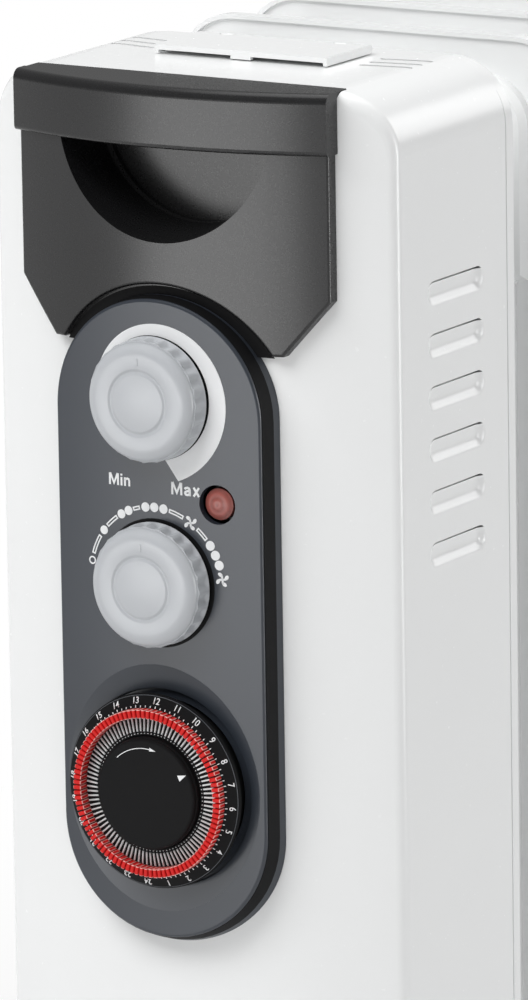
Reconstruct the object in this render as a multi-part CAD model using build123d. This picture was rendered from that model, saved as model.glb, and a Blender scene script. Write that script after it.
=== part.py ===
from build123d import *
import math
import os

# An oil filled radiator heater: nine oil fins on wheeled feet, with a bowed control box on the first fin.
# Everything is modelled about the box's front crease (Y = 0, fins towards +Y) and its top (Z = 0),
# and moved at export so that the heater stands on Z = 0, centred in X and Y. Millimetres throughout.

# Body
BODY_TOP = 636.0
BODY_WIDTH = 140.0
CORNER_R = 20.0
SEAT_GAP = 0.2
BODY_GAP = 0.3
RUNNING_GAP = 0.05

# Oil fins
FIN_COUNT = 9
FIN_PITCH = 40.0
FIN_TOP_DROP = 0.7
FIN_SHEET = 1.6
FIN_RIM_DEPTH = 4.0
FIN_RIM_WALL = 1.4
FIELD_INSET_TOP = 12.0
FIELD_INSET_SIDE = 14.0
FIELD_CORNER_R = 16.0
CHANNEL_HALF = 6.0
CHANNEL_BEVEL = 2.0
CHANNEL_SLOT = 8.0
CHANNEL_SLOT_X = 18.0
CHANNEL_NOTCH = 6.0
CHANNEL_NOTCH_R = 2.5
HEADER_HEIGHT = 63.0
GALLERY_R = 18.0
GALLERY_RING_WALL = 6.0
CAP_LIP = 3.0
CAP_THICKNESS = 5.0
CAP_BEVEL = 1.5
PLUG_R = 7.0
PLUG_LENGTH = 5.0

# Bowed control box
BOX_DEPTH = 61.2
BOX_WALL = 1.2
BOX_LIFT = 8.0
BOX_EDGE_R = 4.5
BOX_REAR_EDGE = 0.5
BOW_R = 150.0
BOW_RISE = 21.8
SHIELD_SHEET = 1.2
SHIELD_INSET = 6.2
SHIELD_HOLE_GAP = 1.0

# Louvres in the box sides
LOUVRE_COUNT = 6
LOUVRE_LENGTH = 34.2
LOUVRE_HEIGHT = 8.0
LOUVRE_PITCH = 15.9
LOUVRE_TOP_DROP = 60.1
LOUVRE_MID_Y = 29.7
LOUVRE_DEPTH = 4.2
LOUVRE_SKIN = 1.0
LOUVRE_SLIT = 26.0

# Vent slots in the box top and bottom
VENT_WIDTH = 2.0
VENT_LENGTH = 17.0
VENT_X = 44.5
VENT_TURN = 8.6
VENT_ROWS = (33.9, 39.8, 46.2)
VENT_MID_LENGTH = 44.0
INTAKE_LENGTH = 70.0
INTAKE_WIDTH = 3.0
INTAKE_ROWS = (10.0, 20.0, 30.0, 40.0)

# Top flap
FLAP_HALF_WIDTH = 30.0
FLAP_FRONT_Y = 23.5
FLAP_REAR_Y = 50.8
FLAP_TOP = 3.0
FLAP_SHEET = 1.6
FLAP_SKIRT = 1.2
FLAP_LIP = 0.4
FLAP_TAB = 7.0
HINGE_KNUCKLE_R = 1.3
HINGE_PIN_R = 0.8
HINGE_LUG_X = 20.0
HINGE_LUG_WIDTH = 4.0

# Handle moulding
HANDLE_HALF_WIDTH = 53.6
HANDLE_PROUD = 4.0
HANDLE_SIDE_DROP = 62.5
HANDLE_POINT_X = 39.5
HANDLE_POINT_DROP = 79.4
HANDLE_REAR_Y = -5.2
HANDLE_ROOF = 4.0
HANDLE_EDGE_R = 1.0
ARCH_RISE = 3.8
ARCH_CLEAR = 7.8
ARCH_LEDGE = 1.4
ARCH_LEDGE_GAP = 0.5
BAR_DROP = 18.5
BAR_PROUD = 2.3
BAR_OVERHANG = 0.7
BAR_TOP_R = 3.0
BAR_FOOT_R = 1.5
SCOOP_R = 37.3
SCOOP_MID_DROP = 10.0
SCOOP_FLOOR_Y = -2.0
SCOOP_FLOOR_R = 35.0
SCOOP_LEDGE = 0.4
SCOOP_LEDGE_SHIFT = 1.6
SCOOP_LEDGE_DEPTH = 1.8
SCOOP_WALL = 2.0

# Control panel
PANEL_FACE_Y = -29.3
PANEL_BOW_R = 328.0
PANEL_HALF_WIDTH = 35.3
PANEL_TOP_DROP = 63.8
PANEL_TOP_MARGIN = 11.2
PANEL_DISH_MARGIN = 8.0
PANEL_FLARE_SIDE = 1.2
PANEL_FLARE_BOTTOM = 4.8
PANEL_DEPTH = 12.4
PANEL_WALL = 2.4
PANEL_EDGE_R = 0.9
DISH_R = 38.0
DISH_DEPTH = 3.0
WINDOW_HALF_WIDTH = 27.0
WINDOW_INSET = 11.0

# Knobs, their spindles and what they turn
KNOB_R = 18.5
KNOB_FACE_R = 17.0
KNOB_HEIGHT = 9.1
KNOB_LIFT = 0.6
KNOB_EDGE_R = 2.8
KNOB_GAP = 19.5
KNOB_FLUTES = 24
KNOB_FLUTE_R = 1.6
KNOB_FLUTE_DEPTH = 0.9
KNOB_FLUTE_LENGTH = 7.2
KNOB_RING_R = 8.4
KNOB_RING_WIDTH = 1.2
KNOB_RING_DEPTH = 0.6
KNOB_SOCKET_DEPTH = 5.0
SPINDLE_R = 3.0
SPINDLE_SEAT = 10.0
SPINDLE_HOLE_GAP = 1.0
BUSH_R = 5.5
THERMOSTAT_SIZE = (34.0, 28.0, 26.0)
SELECTOR_SIZE = (30.0, 24.0, 30.0)

# Pilot lamp
LAMP_X = 21.0
LAMP_RISE = 25.8
LAMP_HOLE_R = 6.0
LAMP_RECESS = 2.0
LENS_R = 4.8
LENS_DOME = 1.4
LENS_BODY = 4.0

# Timer dial and its captive trippers
TIMER_KNOB_GAP = 14.7
TIMER_R = 30.0
TIMER_FACE_PROUD = 4.2
TIMER_CONE_RISE = 1.7
TIMER_RIM = 1.2
TIMER_DRUM_R = 27.0
TIMER_RING_DEPTH = 7.4
TIMER_RING_BEVEL = 0.4
TIMER_HUB_R = 17.3
TIMER_HUB_PROUD = 3.5
TIMER_WEB = 4.3
TIMER_POST_R = 6.0
TIMER_BOSS_R = 23.0
TIMER_CASE = 52.0
TIMER_CASE_DEPTH = 26.0
RIB_RING_PROUD = 0.8
RIB_RING_RISE = 1.0
TRIPPER_COUNT = 96
TRIPPER_QUARTERS = ("night", "morning", "afternoon", "evening")
TRIPPER_INNER_R = 23.4
TRIPPER_OUTER_R = 25.6
TRIPPER_PROUD = 4.4
TRIPPER_WIDTH = 1.05
TRIPPER_ROOT = 1.4
TRIPPER_TRAVEL = 2.4

# Carrier sheet behind the panel
CARRIER_Y = -9.0
CARRIER_SHEET = 1.2
CARRIER_HALF_WIDTH = 32.0
CARRIER_INSET = 5.5

# Blower with its heating element, inside the box
BLOWER_DROP = 350.0
BLOWER_X = -8.0
IMPELLER_R = 21.0
IMPELLER_LENGTH = 80.0
IMPELLER_DISC = 1.2
IMPELLER_BLADES = 24
BLADE_CHORD = 5.0
BLADE_SHEET = 0.8
BLADE_PITCH_ANGLE = 32.0
BLOWER_SHAFT_R = 2.0
BLOWER_SHAFT_SEAT = 9.0
SCROLL_GAP = 3.0
SCROLL_SHEET = 1.5
SCROLL_MOUTH_RISE = 40.0
SCROLL_TONGUE_Y = -12.0
IMPELLER_END_GAP = 1.0
MOTOR_WIDTH = 38.0
MOTOR_LENGTH = 18.0
MOTOR_CORNER_R = 7.6
ELEMENT_HEIGHT = 12.0
ELEMENT_WALL = 2.5
ELEMENT_CELLS = 6

# Oil heating element, safety cut-out, terminals and cord gland
HEATER_TUBES = 3
HEATER_TUBE_R = 4.2
HEATER_TUBE_CIRCLE_R = 9.0
HEATER_END_GAP = 36.0
HEATER_FLANGE_LENGTH = 12.0
CUTOUT_R = 8.0
CUTOUT_LENGTH = 9.0
CUTOUT_X = -38.0
TERMINAL_SIZE = (48.0, 16.0, 18.0)
TERMINAL_X = -30.0
TERMINAL_RISE = 95.0
TERMINAL_POLES = 4
TERMINAL_HOLE_R = 2.2
TERMINAL_HOLE_DEPTH = 8.0
GLAND_BORE_R = 4.2
GLAND_NECK_R = 7.0
GLAND_FLANGE_R = 10.0
GLAND_FLANGE = 2.5
GLAND_LENGTH = 12.0
GLAND_RISE = 46.0
GLAND_Y = 30.0

# Wheeled feet
FOOT_LENGTH = 260.0
FOOT_WIDTH = 46.0
FOOT_HEIGHT = 18.0
FOOT_SHEET = 2.0
FOOT_CORNER_R = 14.0
CASTOR_INSET = 22.0
CASTOR_HEIGHT = 49.0
WHEEL_R = 20.0
WHEEL_WIDTH = 11.0
WHEEL_EDGE = 1.6
WHEEL_HUB_R = 6.0
WHEEL_DISH_R = 13.0
WHEEL_DISH_DEPTH = 2.0
FORK_WEB = 8.0
FORK_TRAIL = 12.0
FORK_HOOD_GAP = 1.3
FORK_HOOD_SHEET = 2.0
FORK_NECK_R = 9.0
AXLE_R = 3.0
STEM_R = 4.0
STEM_HEAD_R = 7.0
STEM_HEAD = 2.0
UBOLT_R = 2.5
UBOLT_TAIL = 2.0
NUT_R = 5.5
NUT_HEIGHT = 6.0
WING_SPAN = 20.0
WING_SHEET = 2.5
WING_HEIGHT = 9.0

# Levels and places that follow from the sizes above
FLOOR_Z = -BODY_TOP
FOOT_TOP_Z = FLOOR_Z + CASTOR_HEIGHT + FOOT_HEIGHT
CASTOR_X = FOOT_LENGTH / 2 - CASTOR_INSET
FIN_TOP_Z = -FIN_TOP_DROP
FIN_HEIGHT = FIN_TOP_Z - FOOT_TOP_Z
FIN_MID_Z = (FIN_TOP_Z + FOOT_TOP_Z) / 2
FIN_1_Y = BOX_DEPTH + FIN_RIM_DEPTH / 2 + SEAT_GAP
FIN_LAST_Y = FIN_1_Y + (FIN_COUNT - 1) * FIN_PITCH
FIN_FRONT_Y = FIN_1_Y - CHANNEL_HALF
FIN_REAR_Y = FIN_LAST_Y + CHANNEL_HALF
GALLERY_INSET = FIELD_INSET_TOP + HEADER_HEIGHT / 2
UPPER_GALLERY_Z = FIN_TOP_Z - GALLERY_INSET
LOWER_GALLERY_Z = FOOT_TOP_Z + GALLERY_INSET
GALLERY_RING_R = GALLERY_R + GALLERY_RING_WALL
CAP_R = GALLERY_R + CAP_LIP
BOX_HEIGHT = BODY_TOP - CASTOR_HEIGHT - FOOT_HEIGHT - BOX_LIFT
BOX_FLOOR_Z = -BOX_HEIGHT
BOW_AXIS_Y = BOW_R - BOW_RISE
SHIELD_FRONT_Y = BOX_DEPTH - SHIELD_INSET - SHIELD_SHEET
THERMOSTAT_DROP = PANEL_TOP_DROP + PANEL_TOP_MARGIN + KNOB_R
SELECTOR_DROP = THERMOSTAT_DROP + 2 * KNOB_R + KNOB_GAP
LAMP_DROP = SELECTOR_DROP - LAMP_RISE
TIMER_DROP = SELECTOR_DROP + KNOB_R + TIMER_KNOB_GAP + TIMER_R
PANEL_BOTTOM_DROP = TIMER_DROP + DISH_R + PANEL_DISH_MARGIN
KNOB_BACK_Y = PANEL_FACE_Y - KNOB_LIFT
KNOB_FACE_Y = KNOB_BACK_Y - KNOB_HEIGHT
CARRIER_BACK_Y = CARRIER_Y + CARRIER_SHEET
TIMER_FACE_Y = PANEL_FACE_Y - TIMER_FACE_PROUD
TIMER_BACK_Y = TIMER_FACE_Y + TIMER_RING_DEPTH
TIMER_WEB_Y = TIMER_BACK_Y - TIMER_WEB
TIMER_HUB_Y = TIMER_FACE_Y - TIMER_HUB_PROUD
TRIPPER_TIP_Y = TIMER_FACE_Y - TRIPPER_PROUD
TRIPPER_ROOT_Y = TIMER_FACE_Y + TRIPPER_ROOT
BLOWER_Y = SHIELD_FRONT_Y - BODY_GAP - SCROLL_SHEET - SCROLL_GAP - IMPELLER_R
TERMINAL_TOP_Z = BOX_FLOOR_Z + TERMINAL_RISE + TERMINAL_SIZE[2]
BLOWER_BOTTOM_Z = -BLOWER_DROP - IMPELLER_R - SCROLL_GAP - SCROLL_SHEET
CUTOUT_Z = (BLOWER_BOTTOM_Z + TERMINAL_TOP_Z) / 2
PLUG_END_Y = FIN_REAR_Y + CAP_THICKNESS + PLUG_LENGTH
PLACE = Pos(0, -(KNOB_FACE_Y + PLUG_END_Y) / 2, BODY_TOP)
FAR = 2 * BODY_TOP


def bow_y(x, radius):
    """Depth of an upright cylinder about the bow's axis at a distance x from the middle."""
    return BOW_AXIS_Y - math.sqrt(radius**2 - x**2)


def bow_drum(radius):
    return Pos(0, BOW_AXIS_Y, -BOX_HEIGHT / 2) * Cylinder(radius, FAR)


def front_prism(sketch, near_y, far_y):
    """Push an outline drawn in front view (x, z) from near_y back to far_y."""
    plane = Plane((0, far_y, 0), x_dir=(1, 0, 0), z_dir=(0, -1, 0))
    return extrude(plane * sketch, far_y - near_y)


def side_prism(sketch, left_x, right_x):
    """Push an outline drawn in side view (y, z) from left_x to right_x."""
    plane = Plane((left_x, 0, 0), x_dir=(0, 1, 0), z_dir=(1, 0, 0))
    return extrude(plane * sketch, right_x - left_x)


def turned(points, x, z):
    """Turn a half section of (radius, y) points about a level axis along Y."""
    half = Plane.XY * make_face(Polyline(*points, close=True))
    return Pos(x, 0, z) * revolve(half, Axis.Y)


def front_rod(radius, near_y, far_y, x=0.0, z=0.0):
    return front_prism(Pos(x, z) * Circle(radius), near_y, far_y)


def side_rod(radius, left_x, right_x, y, z):
    return side_prism(Pos(y, z) * Circle(radius), left_x, right_x)


def upright_rod(radius, low_z, high_z, x=0.0, y=0.0):
    return Pos(x, y, low_z) * extrude(Circle(radius), high_z - low_z)


def block(low, high):
    size = [b - a for a, b in zip(low, high)]
    middle = [(a + b) / 2 for a, b in zip(low, high)]
    return Pos(*middle) * Box(*size)


def upright_slot(half_width, top_z, bottom_z):
    """Obround outline in front view, standing on end."""
    return Pos(0, (top_z + bottom_z) / 2) * SlotOverall(top_z - bottom_z, 2 * half_width, rotation=90)


# Oil fins and the galleries that join them


def fin_outline(inset):
    width = BODY_WIDTH - 2 * inset
    height = FIN_HEIGHT - 2 * inset
    return Pos(0, FIN_MID_Z) * RectangleRounded(width, height, CORNER_R - inset)


def channel_field():
    """Oil space of a fin: a header at each end and three upright channels between them."""
    field_width = BODY_WIDTH - 2 * FIELD_INSET_SIDE
    field_height = FIN_HEIGHT - 2 * FIELD_INSET_TOP
    channel_height = field_height - 2 * HEADER_HEIGHT
    field = RectangleRounded(field_width, field_height, FIELD_CORNER_R)
    slot = SlotOverall(channel_height, CHANNEL_SLOT, rotation=90)
    notch = RectangleRounded(2 * CHANNEL_NOTCH, channel_height, CHANNEL_NOTCH_R)
    for side in (-1, 1):
        field -= Pos(side * CHANNEL_SLOT_X, 0) * slot
        field -= Pos(side * field_width / 2, 0) * notch
    return Pos(0, FIN_MID_Z) * field


def make_fin():
    sheet = front_prism(fin_outline(0), -FIN_SHEET / 2, FIN_SHEET / 2)
    rim_outline = fin_outline(0) - fin_outline(FIN_RIM_WALL)
    rim = front_prism(rim_outline, -FIN_RIM_DEPTH / 2, FIN_RIM_DEPTH / 2)
    raised = front_prism(channel_field(), -CHANNEL_HALF, CHANNEL_HALF)
    crowns = raised.faces().filter_by(Axis.Y)
    raised = chamfer(crowns.edges(), CHANNEL_BEVEL)
    fin = sheet + rim + raised
    for gallery_z in (UPPER_GALLERY_Z, LOWER_GALLERY_Z):
        fin -= front_rod(GALLERY_R, -CHANNEL_HALF, CHANNEL_HALF, z=gallery_z)
    return fin


def make_gallery_rings(gallery_z):
    """Ring between each pair of fins, welded to the headers in the real radiator."""
    outline = Pos(0, gallery_z) * (Circle(GALLERY_RING_R) - Circle(GALLERY_R))
    rings = []
    for gap in range(FIN_COUNT - 1):
        near_y = FIN_1_Y + gap * FIN_PITCH + CHANNEL_HALF
        far_y = near_y + FIN_PITCH - 2 * CHANNEL_HALF
        rings.append(front_prism(outline, near_y, far_y))
    return rings


def make_gallery_caps():
    upper_front = front_rod(CAP_R, FIN_FRONT_Y - CAP_THICKNESS, FIN_FRONT_Y, z=UPPER_GALLERY_Z)
    upper_front = chamfer(upper_front.faces().sort_by(Axis.Y)[0].edges(), CAP_BEVEL)
    caps = [upper_front]
    for gallery_z in (UPPER_GALLERY_Z, LOWER_GALLERY_Z):
        cap = front_rod(CAP_R, FIN_REAR_Y, FIN_REAR_Y + CAP_THICKNESS, z=gallery_z)
        caps.append(chamfer(cap.faces().sort_by(Axis.Y)[-1].edges(), CAP_BEVEL))
    return caps


def make_filler_plug():
    hexagon = Pos(0, UPPER_GALLERY_Z) * RegularPolygon(PLUG_R, 6)
    return front_prism(hexagon, FIN_REAR_Y + CAP_THICKNESS, PLUG_END_Y)


def make_heater_flange():
    near_y = FIN_FRONT_Y - HEATER_FLANGE_LENGTH
    nut = front_prism(Pos(0, LOWER_GALLERY_Z) * RegularPolygon(GALLERY_R, 6), near_y, FIN_FRONT_Y)
    collar = front_rod(CAP_R, FIN_FRONT_Y - CAP_THICKNESS, FIN_FRONT_Y, z=LOWER_GALLERY_Z)
    return nut + collar


def make_heater_tubes():
    tubes = []
    for place in PolarLocations(HEATER_TUBE_CIRCLE_R, HEATER_TUBES):
        middle = place.position
        far_y = FIN_LAST_Y - HEATER_END_GAP
        tubes.append(front_rod(HEATER_TUBE_R, FIN_FRONT_Y, far_y, middle.X, LOWER_GALLERY_Z + middle.Y))
    return tubes


# Control box


def bowed_block(inset, rear_y):
    """The box's outer form, or with an inset the hollow inside its wall."""
    outline = RectangleRounded(BODY_WIDTH - 2 * inset, BOX_HEIGHT - 2 * inset, CORNER_R - inset)
    form = front_prism(Pos(0, -BOX_HEIGHT / 2) * outline, -2 * BOW_RISE, rear_y)
    form = form & bow_drum(BOW_R - inset)
    front_face = form.faces().sort_by(Axis.Y)[0]
    return fillet(front_face.edges(), BOX_EDGE_R - inset)


def louvre_wedge(top_z, height, length, depth, side):
    """Dent that slopes inwards from its lower edge to its full depth at the upper edge."""
    wall_x = side * BODY_WIDTH / 2
    slope = make_face(Polyline((0, 0), (0, height), (-depth, height), close=True))
    plane = Plane((wall_x, LOUVRE_MID_Y, top_z - height), x_dir=(side, 0, 0), z_dir=(0, -side, 0))
    wedge = extrude(plane * slope, length / 2, both=True)
    plan = Pos(LOUVRE_MID_Y, top_z - height / 2) * SlotOverall(length, height)
    inner_x = wall_x - side * depth
    return wedge & side_prism(plan, min(wall_x, inner_x), max(wall_x, inner_x))


def add_louvre(cover, top_z, side):
    skin = LOUVRE_SKIN
    hood_height = LOUVRE_HEIGHT + 2 * skin
    hood_depth = LOUVRE_DEPTH + 2 * skin
    cover += louvre_wedge(top_z + skin, hood_height, LOUVRE_LENGTH + 2 * skin, hood_depth, side)
    cover -= louvre_wedge(top_z, LOUVRE_HEIGHT, LOUVRE_LENGTH, LOUVRE_DEPTH, side)
    slit_x = [side * (BODY_WIDTH / 2 - depth) for depth in (BOX_WALL + skin, LOUVRE_DEPTH)]
    low = (min(slit_x), LOUVRE_MID_Y - LOUVRE_SLIT / 2, top_z - skin)
    high = (max(slit_x), LOUVRE_MID_Y + LOUVRE_SLIT / 2, top_z + 2 * skin)
    return cover - block(low, high)


def vent_cut(length, width, x, y, turn, level_z):
    slot = Pos(x, y) * SlotOverall(length, width, rotation=turn)
    return Pos(0, 0, level_z - 2 * BOX_WALL) * extrude(slot, 4 * BOX_WALL)


def hinge_y():
    return FLAP_REAR_Y - HINGE_KNUCKLE_R


def hinge_z():
    return FLAP_TOP - HINGE_KNUCKLE_R


def hinge_lug(radius, width, x):
    """Upright lug round the hinge pin, standing on the box top."""
    foot = Pos(hinge_y(), hinge_z() / 2) * Rectangle(2 * radius, hinge_z())
    profile = foot + Pos(hinge_y(), hinge_z()) * Circle(radius)
    return side_prism(profile, x - width / 2, x + width / 2)


def make_box_cover():
    cover = bowed_block(0, BOX_DEPTH)
    rear_edges = cover.faces().sort_by(Axis.Y)[-1].edges()
    cover = chamfer(rear_edges, BOX_REAR_EDGE)
    cover -= bowed_block(BOX_WALL, BOX_DEPTH + BOX_WALL)
    for row in range(LOUVRE_COUNT):
        for side in (-1, 1):
            cover = add_louvre(cover, -LOUVRE_TOP_DROP - row * LOUVRE_PITCH, side)
    for y in VENT_ROWS:
        for side in (-1, 1):
            cover -= vent_cut(VENT_LENGTH, VENT_WIDTH, side * VENT_X, y, side * VENT_TURN, 0)
        cover -= vent_cut(VENT_MID_LENGTH, VENT_WIDTH, 0, y, 0, 0)
    for y in INTAKE_ROWS:
        cover -= vent_cut(INTAKE_LENGTH, INTAKE_WIDTH, 0, y, 0, BOX_FLOOR_Z)
    for side in (-1, 1):
        lug = hinge_lug(HINGE_KNUCKLE_R, HINGE_LUG_WIDTH, side * HINGE_LUG_X)
        cover += lug - hinge_pin(HINGE_PIN_R)
    window_top = -PANEL_TOP_DROP - WINDOW_INSET
    window = upright_slot(WINDOW_HALF_WIDTH, window_top, -PANEL_BOTTOM_DROP + WINDOW_INSET)
    cover -= front_prism(window, -2 * BOW_RISE, CARRIER_Y)
    cover -= scoop_body(SEAT_GAP)
    half_notch = HANDLE_HALF_WIDTH + SEAT_GAP
    notch_low = (-half_notch, -2 * BOW_RISE, -HANDLE_ROOF - SEAT_GAP)
    cover -= block(notch_low, (half_notch, HANDLE_REAR_Y + SEAT_GAP, BODY_GAP))
    wall_x = -BODY_WIDTH / 2
    gland_hole_r = GLAND_NECK_R + SEAT_GAP
    return cover - side_rod(gland_hole_r, wall_x - BOX_WALL, wall_x + 2 * BOX_WALL, GLAND_Y, gland_z())


def make_heat_shield():
    inset = BOX_WALL + BODY_GAP
    outline = RectangleRounded(BODY_WIDTH - 2 * inset, BOX_HEIGHT - 2 * inset, CORNER_R - inset)
    outline = Pos(0, -BOX_HEIGHT / 2) * outline
    for gallery_z in (UPPER_GALLERY_Z, LOWER_GALLERY_Z):
        outline -= Pos(0, gallery_z) * Circle(CAP_R + SHIELD_HOLE_GAP)
    return front_prism(outline, SHIELD_FRONT_Y, SHIELD_FRONT_Y + SHIELD_SHEET)


def gland_z():
    return BOX_FLOOR_Z + GLAND_RISE


def make_cord_gland():
    outer_x = -BODY_WIDTH / 2 - GLAND_FLANGE
    flange = side_rod(GLAND_FLANGE_R, outer_x, -BODY_WIDTH / 2, GLAND_Y, gland_z())
    neck = side_rod(GLAND_NECK_R, outer_x, outer_x + GLAND_LENGTH, GLAND_Y, gland_z())
    return flange + neck - side_rod(GLAND_BORE_R, outer_x, outer_x + GLAND_LENGTH, GLAND_Y, gland_z())


# Top flap on its hinge pin


def hinge_pin(radius):
    half = FLAP_HALF_WIDTH - FLAP_SKIRT
    return side_rod(radius, -half, half, hinge_y(), hinge_z())


def make_top_flap():
    plate = Rectangle(hinge_y() - FLAP_FRONT_Y, FLAP_SHEET)
    profile = Pos((FLAP_FRONT_Y + hinge_y()) / 2, FLAP_TOP - FLAP_SHEET / 2) * plate
    profile += Pos(hinge_y(), hinge_z()) * Circle(HINGE_KNUCKLE_R)
    flap = side_prism(profile, -FLAP_HALF_WIDTH, FLAP_HALF_WIDTH)
    for side in (-1, 1):
        outer = side * FLAP_HALF_WIDTH
        inner = side * (FLAP_HALF_WIDTH - FLAP_SKIRT)
        flap += block((min(outer, inner), FLAP_FRONT_Y, FLAP_LIP), (max(outer, inner), hinge_y(), FLAP_TOP))
    tab_high = (FLAP_TAB / 2, FLAP_FRONT_Y + FLAP_SHEET, FLAP_TOP)
    flap += block((-FLAP_TAB / 2, FLAP_FRONT_Y, FLAP_LIP), tab_high)
    gap = HINGE_KNUCKLE_R + BODY_GAP
    half = HINGE_LUG_WIDTH / 2 + BODY_GAP
    for side in (-1, 1):
        x = side * HINGE_LUG_X
        flap -= block((x - half, hinge_y() - gap, 0), (x + half, FLAP_REAR_Y + gap, 2 * FLAP_TOP))
    return flap - hinge_pin(HINGE_PIN_R + RUNNING_GAP)


# Handle moulding


def handle_outline(arch_r, arch_top):
    """Front view: straight sides, a chamfer to two points, and an arch that clears the panel."""
    half = HANDLE_HALF_WIDTH
    outline = make_face(
        Polyline(
            (-half, 0),
            (-half, -HANDLE_SIDE_DROP),
            (-HANDLE_POINT_X, -HANDLE_POINT_DROP),
            (HANDLE_POINT_X, -HANDLE_POINT_DROP),
            (half, -HANDLE_SIDE_DROP),
            (half, 0),
            close=True,
        )
    )
    return outline - Pos(0, arch_top - arch_r) * Circle(arch_r)


def bow_band(inner_r, outer_r, low_z, high_z):
    ring = Pos(0, BOW_AXIS_Y) * (Circle(outer_r) - Circle(inner_r))
    return Pos(0, 0, low_z) * extrude(ring, high_z - low_z)


def scoop_body(grow):
    """Outside of the finger scoop where it passes back through the box front."""
    plan = Pos(0, -SCOOP_MID_DROP) * Circle(SCOOP_R + SCOOP_WALL + grow)
    body = front_prism(plan, -2 * BOW_RISE, SCOOP_FLOOR_Y + SCOOP_LEDGE_DEPTH + SCOOP_WALL + grow)
    roof_z = -BOX_WALL - SEAT_GAP - BODY_GAP + grow
    return body - block((-FAR, -FAR, roof_z), (FAR, FAR, FAR))


def scoop_hollow():
    """Finger space: a round tapered pocket behind the grip bar, its floor sunk inside a narrow ledge."""
    bar_back_y = bow_y(0, BOW_R + HANDLE_PROUD)
    front_y = bar_back_y - BAR_PROUD
    section = [
        (0, front_y),
        (SCOOP_R, front_y),
        (SCOOP_R, bar_back_y),
        (SCOOP_FLOOR_R, SCOOP_FLOOR_Y),
        (0, SCOOP_FLOOR_Y),
    ]
    pocket = turned(section, 0, -SCOOP_MID_DROP)
    sunk = Pos(SCOOP_LEDGE_SHIFT, 0) * Circle(SCOOP_FLOOR_R - SCOOP_LEDGE) & Circle(SCOOP_FLOOR_R)
    sunk = Pos(0, -SCOOP_MID_DROP) * sunk
    pocket += front_prism(sunk, SCOOP_FLOOR_Y, SCOOP_FLOOR_Y + SCOOP_LEDGE_DEPTH)
    return pocket - block((-FAR, -FAR, -HANDLE_ROOF), (FAR, FAR, FAR))


def grip_bar():
    """Bar section turned about the bow's axis and cut to the handle's width."""
    inner = BOW_R + SEAT_GAP
    outer = BOW_R + HANDLE_PROUD + BAR_PROUD
    ring = bow_band(inner, outer, -BAR_DROP, 0)
    rims = ring.edges().filter_by(GeomType.CIRCLE).sort_by(lambda edge: edge.radius)[-2:].sort_by(Axis.Z)
    ring = fillet(rims[-1], BAR_TOP_R)
    foot_rim = ring.edges().filter_by(GeomType.CIRCLE).filter_by_position(Axis.Z, -BAR_DROP, -BAR_DROP)
    ring = fillet(foot_rim.sort_by(lambda edge: edge.radius)[-1], BAR_FOOT_R)
    half = HANDLE_HALF_WIDTH + BAR_OVERHANG
    return ring & block((-half, -2 * BOW_RISE, -BAR_DROP), (half, 0, 0))


def arch_ledge():
    """Thin sunk border inside the arch, that runs up to the panel's foot."""
    ledge = bow_band(BOW_R + SEAT_GAP, BOW_R + ARCH_LEDGE, -HANDLE_POINT_DROP, -PANEL_TOP_DROP + 2 * ARCH_RISE)
    margin = PANEL_FLARE_SIDE + ARCH_LEDGE_GAP
    inner = handle_outline(PANEL_HALF_WIDTH + margin, -PANEL_TOP_DROP + margin)
    arch_half = PANEL_HALF_WIDTH + ARCH_CLEAR
    return ledge & front_prism(inner & Rectangle(2 * arch_half, FAR), -2 * BOW_RISE, 0)


def make_handle():
    plate = bow_band(BOW_R + SEAT_GAP, BOW_R + HANDLE_PROUD, -HANDLE_POINT_DROP, -HANDLE_ROOF)
    arch = handle_outline(PANEL_HALF_WIDTH + ARCH_CLEAR, -PANEL_TOP_DROP + ARCH_RISE)
    plate = plate & front_prism(arch, -2 * BOW_RISE, 0)
    face_edges = plate.faces().sort_by(Axis.Y)[0].edges().sort_by(Axis.Z)[:-1]
    plate = fillet(face_edges, HANDLE_EDGE_R) + arch_ledge()
    roof = block((-HANDLE_HALF_WIDTH, -2 * BOW_RISE, -HANDLE_ROOF), (HANDLE_HALF_WIDTH, HANDLE_REAR_Y, 0))
    roof = roof & bow_drum(BOW_R + HANDLE_PROUD - BAR_TOP_R)
    pocket = scoop_body(0) & bow_drum(BOW_R + HANDLE_PROUD)
    return plate + roof + pocket - scoop_hollow() + grip_bar()


# Control panel


def make_control_panel():
    floor_y = PANEL_FACE_Y + DISH_DEPTH
    backing = [
        (0, PANEL_FACE_Y),
        (DISH_R, PANEL_FACE_Y),
        (DISH_R, PANEL_FACE_Y + PANEL_WALL),
        (TIMER_R, floor_y + PANEL_WALL),
        (0, floor_y + PANEL_WALL),
    ]
    panel = panel_form(0) - (panel_form(PANEL_WALL) - turned(backing, 0, -TIMER_DROP))
    panel -= bow_drum(BOW_R + SEAT_GAP)
    dish = [
        (0, PANEL_FACE_Y),
        (DISH_R, PANEL_FACE_Y),
        (TIMER_R, floor_y),
        (0, floor_y),
    ]
    panel -= turned(dish, 0, -TIMER_DROP)
    holes = [(TIMER_DRUM_R + 2 * BODY_GAP, 0, -TIMER_DROP), (LAMP_HOLE_R, LAMP_X, -LAMP_DROP)]
    spindle_hole_r = SPINDLE_R + SPINDLE_HOLE_GAP
    holes += [(spindle_hole_r, 0, -THERMOSTAT_DROP), (spindle_hole_r, 0, -SELECTOR_DROP)]
    hole_end = floor_y + 2 * PANEL_WALL
    for radius, x, z in holes:
        panel -= front_rod(radius, PANEL_FACE_Y - BODY_GAP, hole_end, x, z)
    return panel


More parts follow.
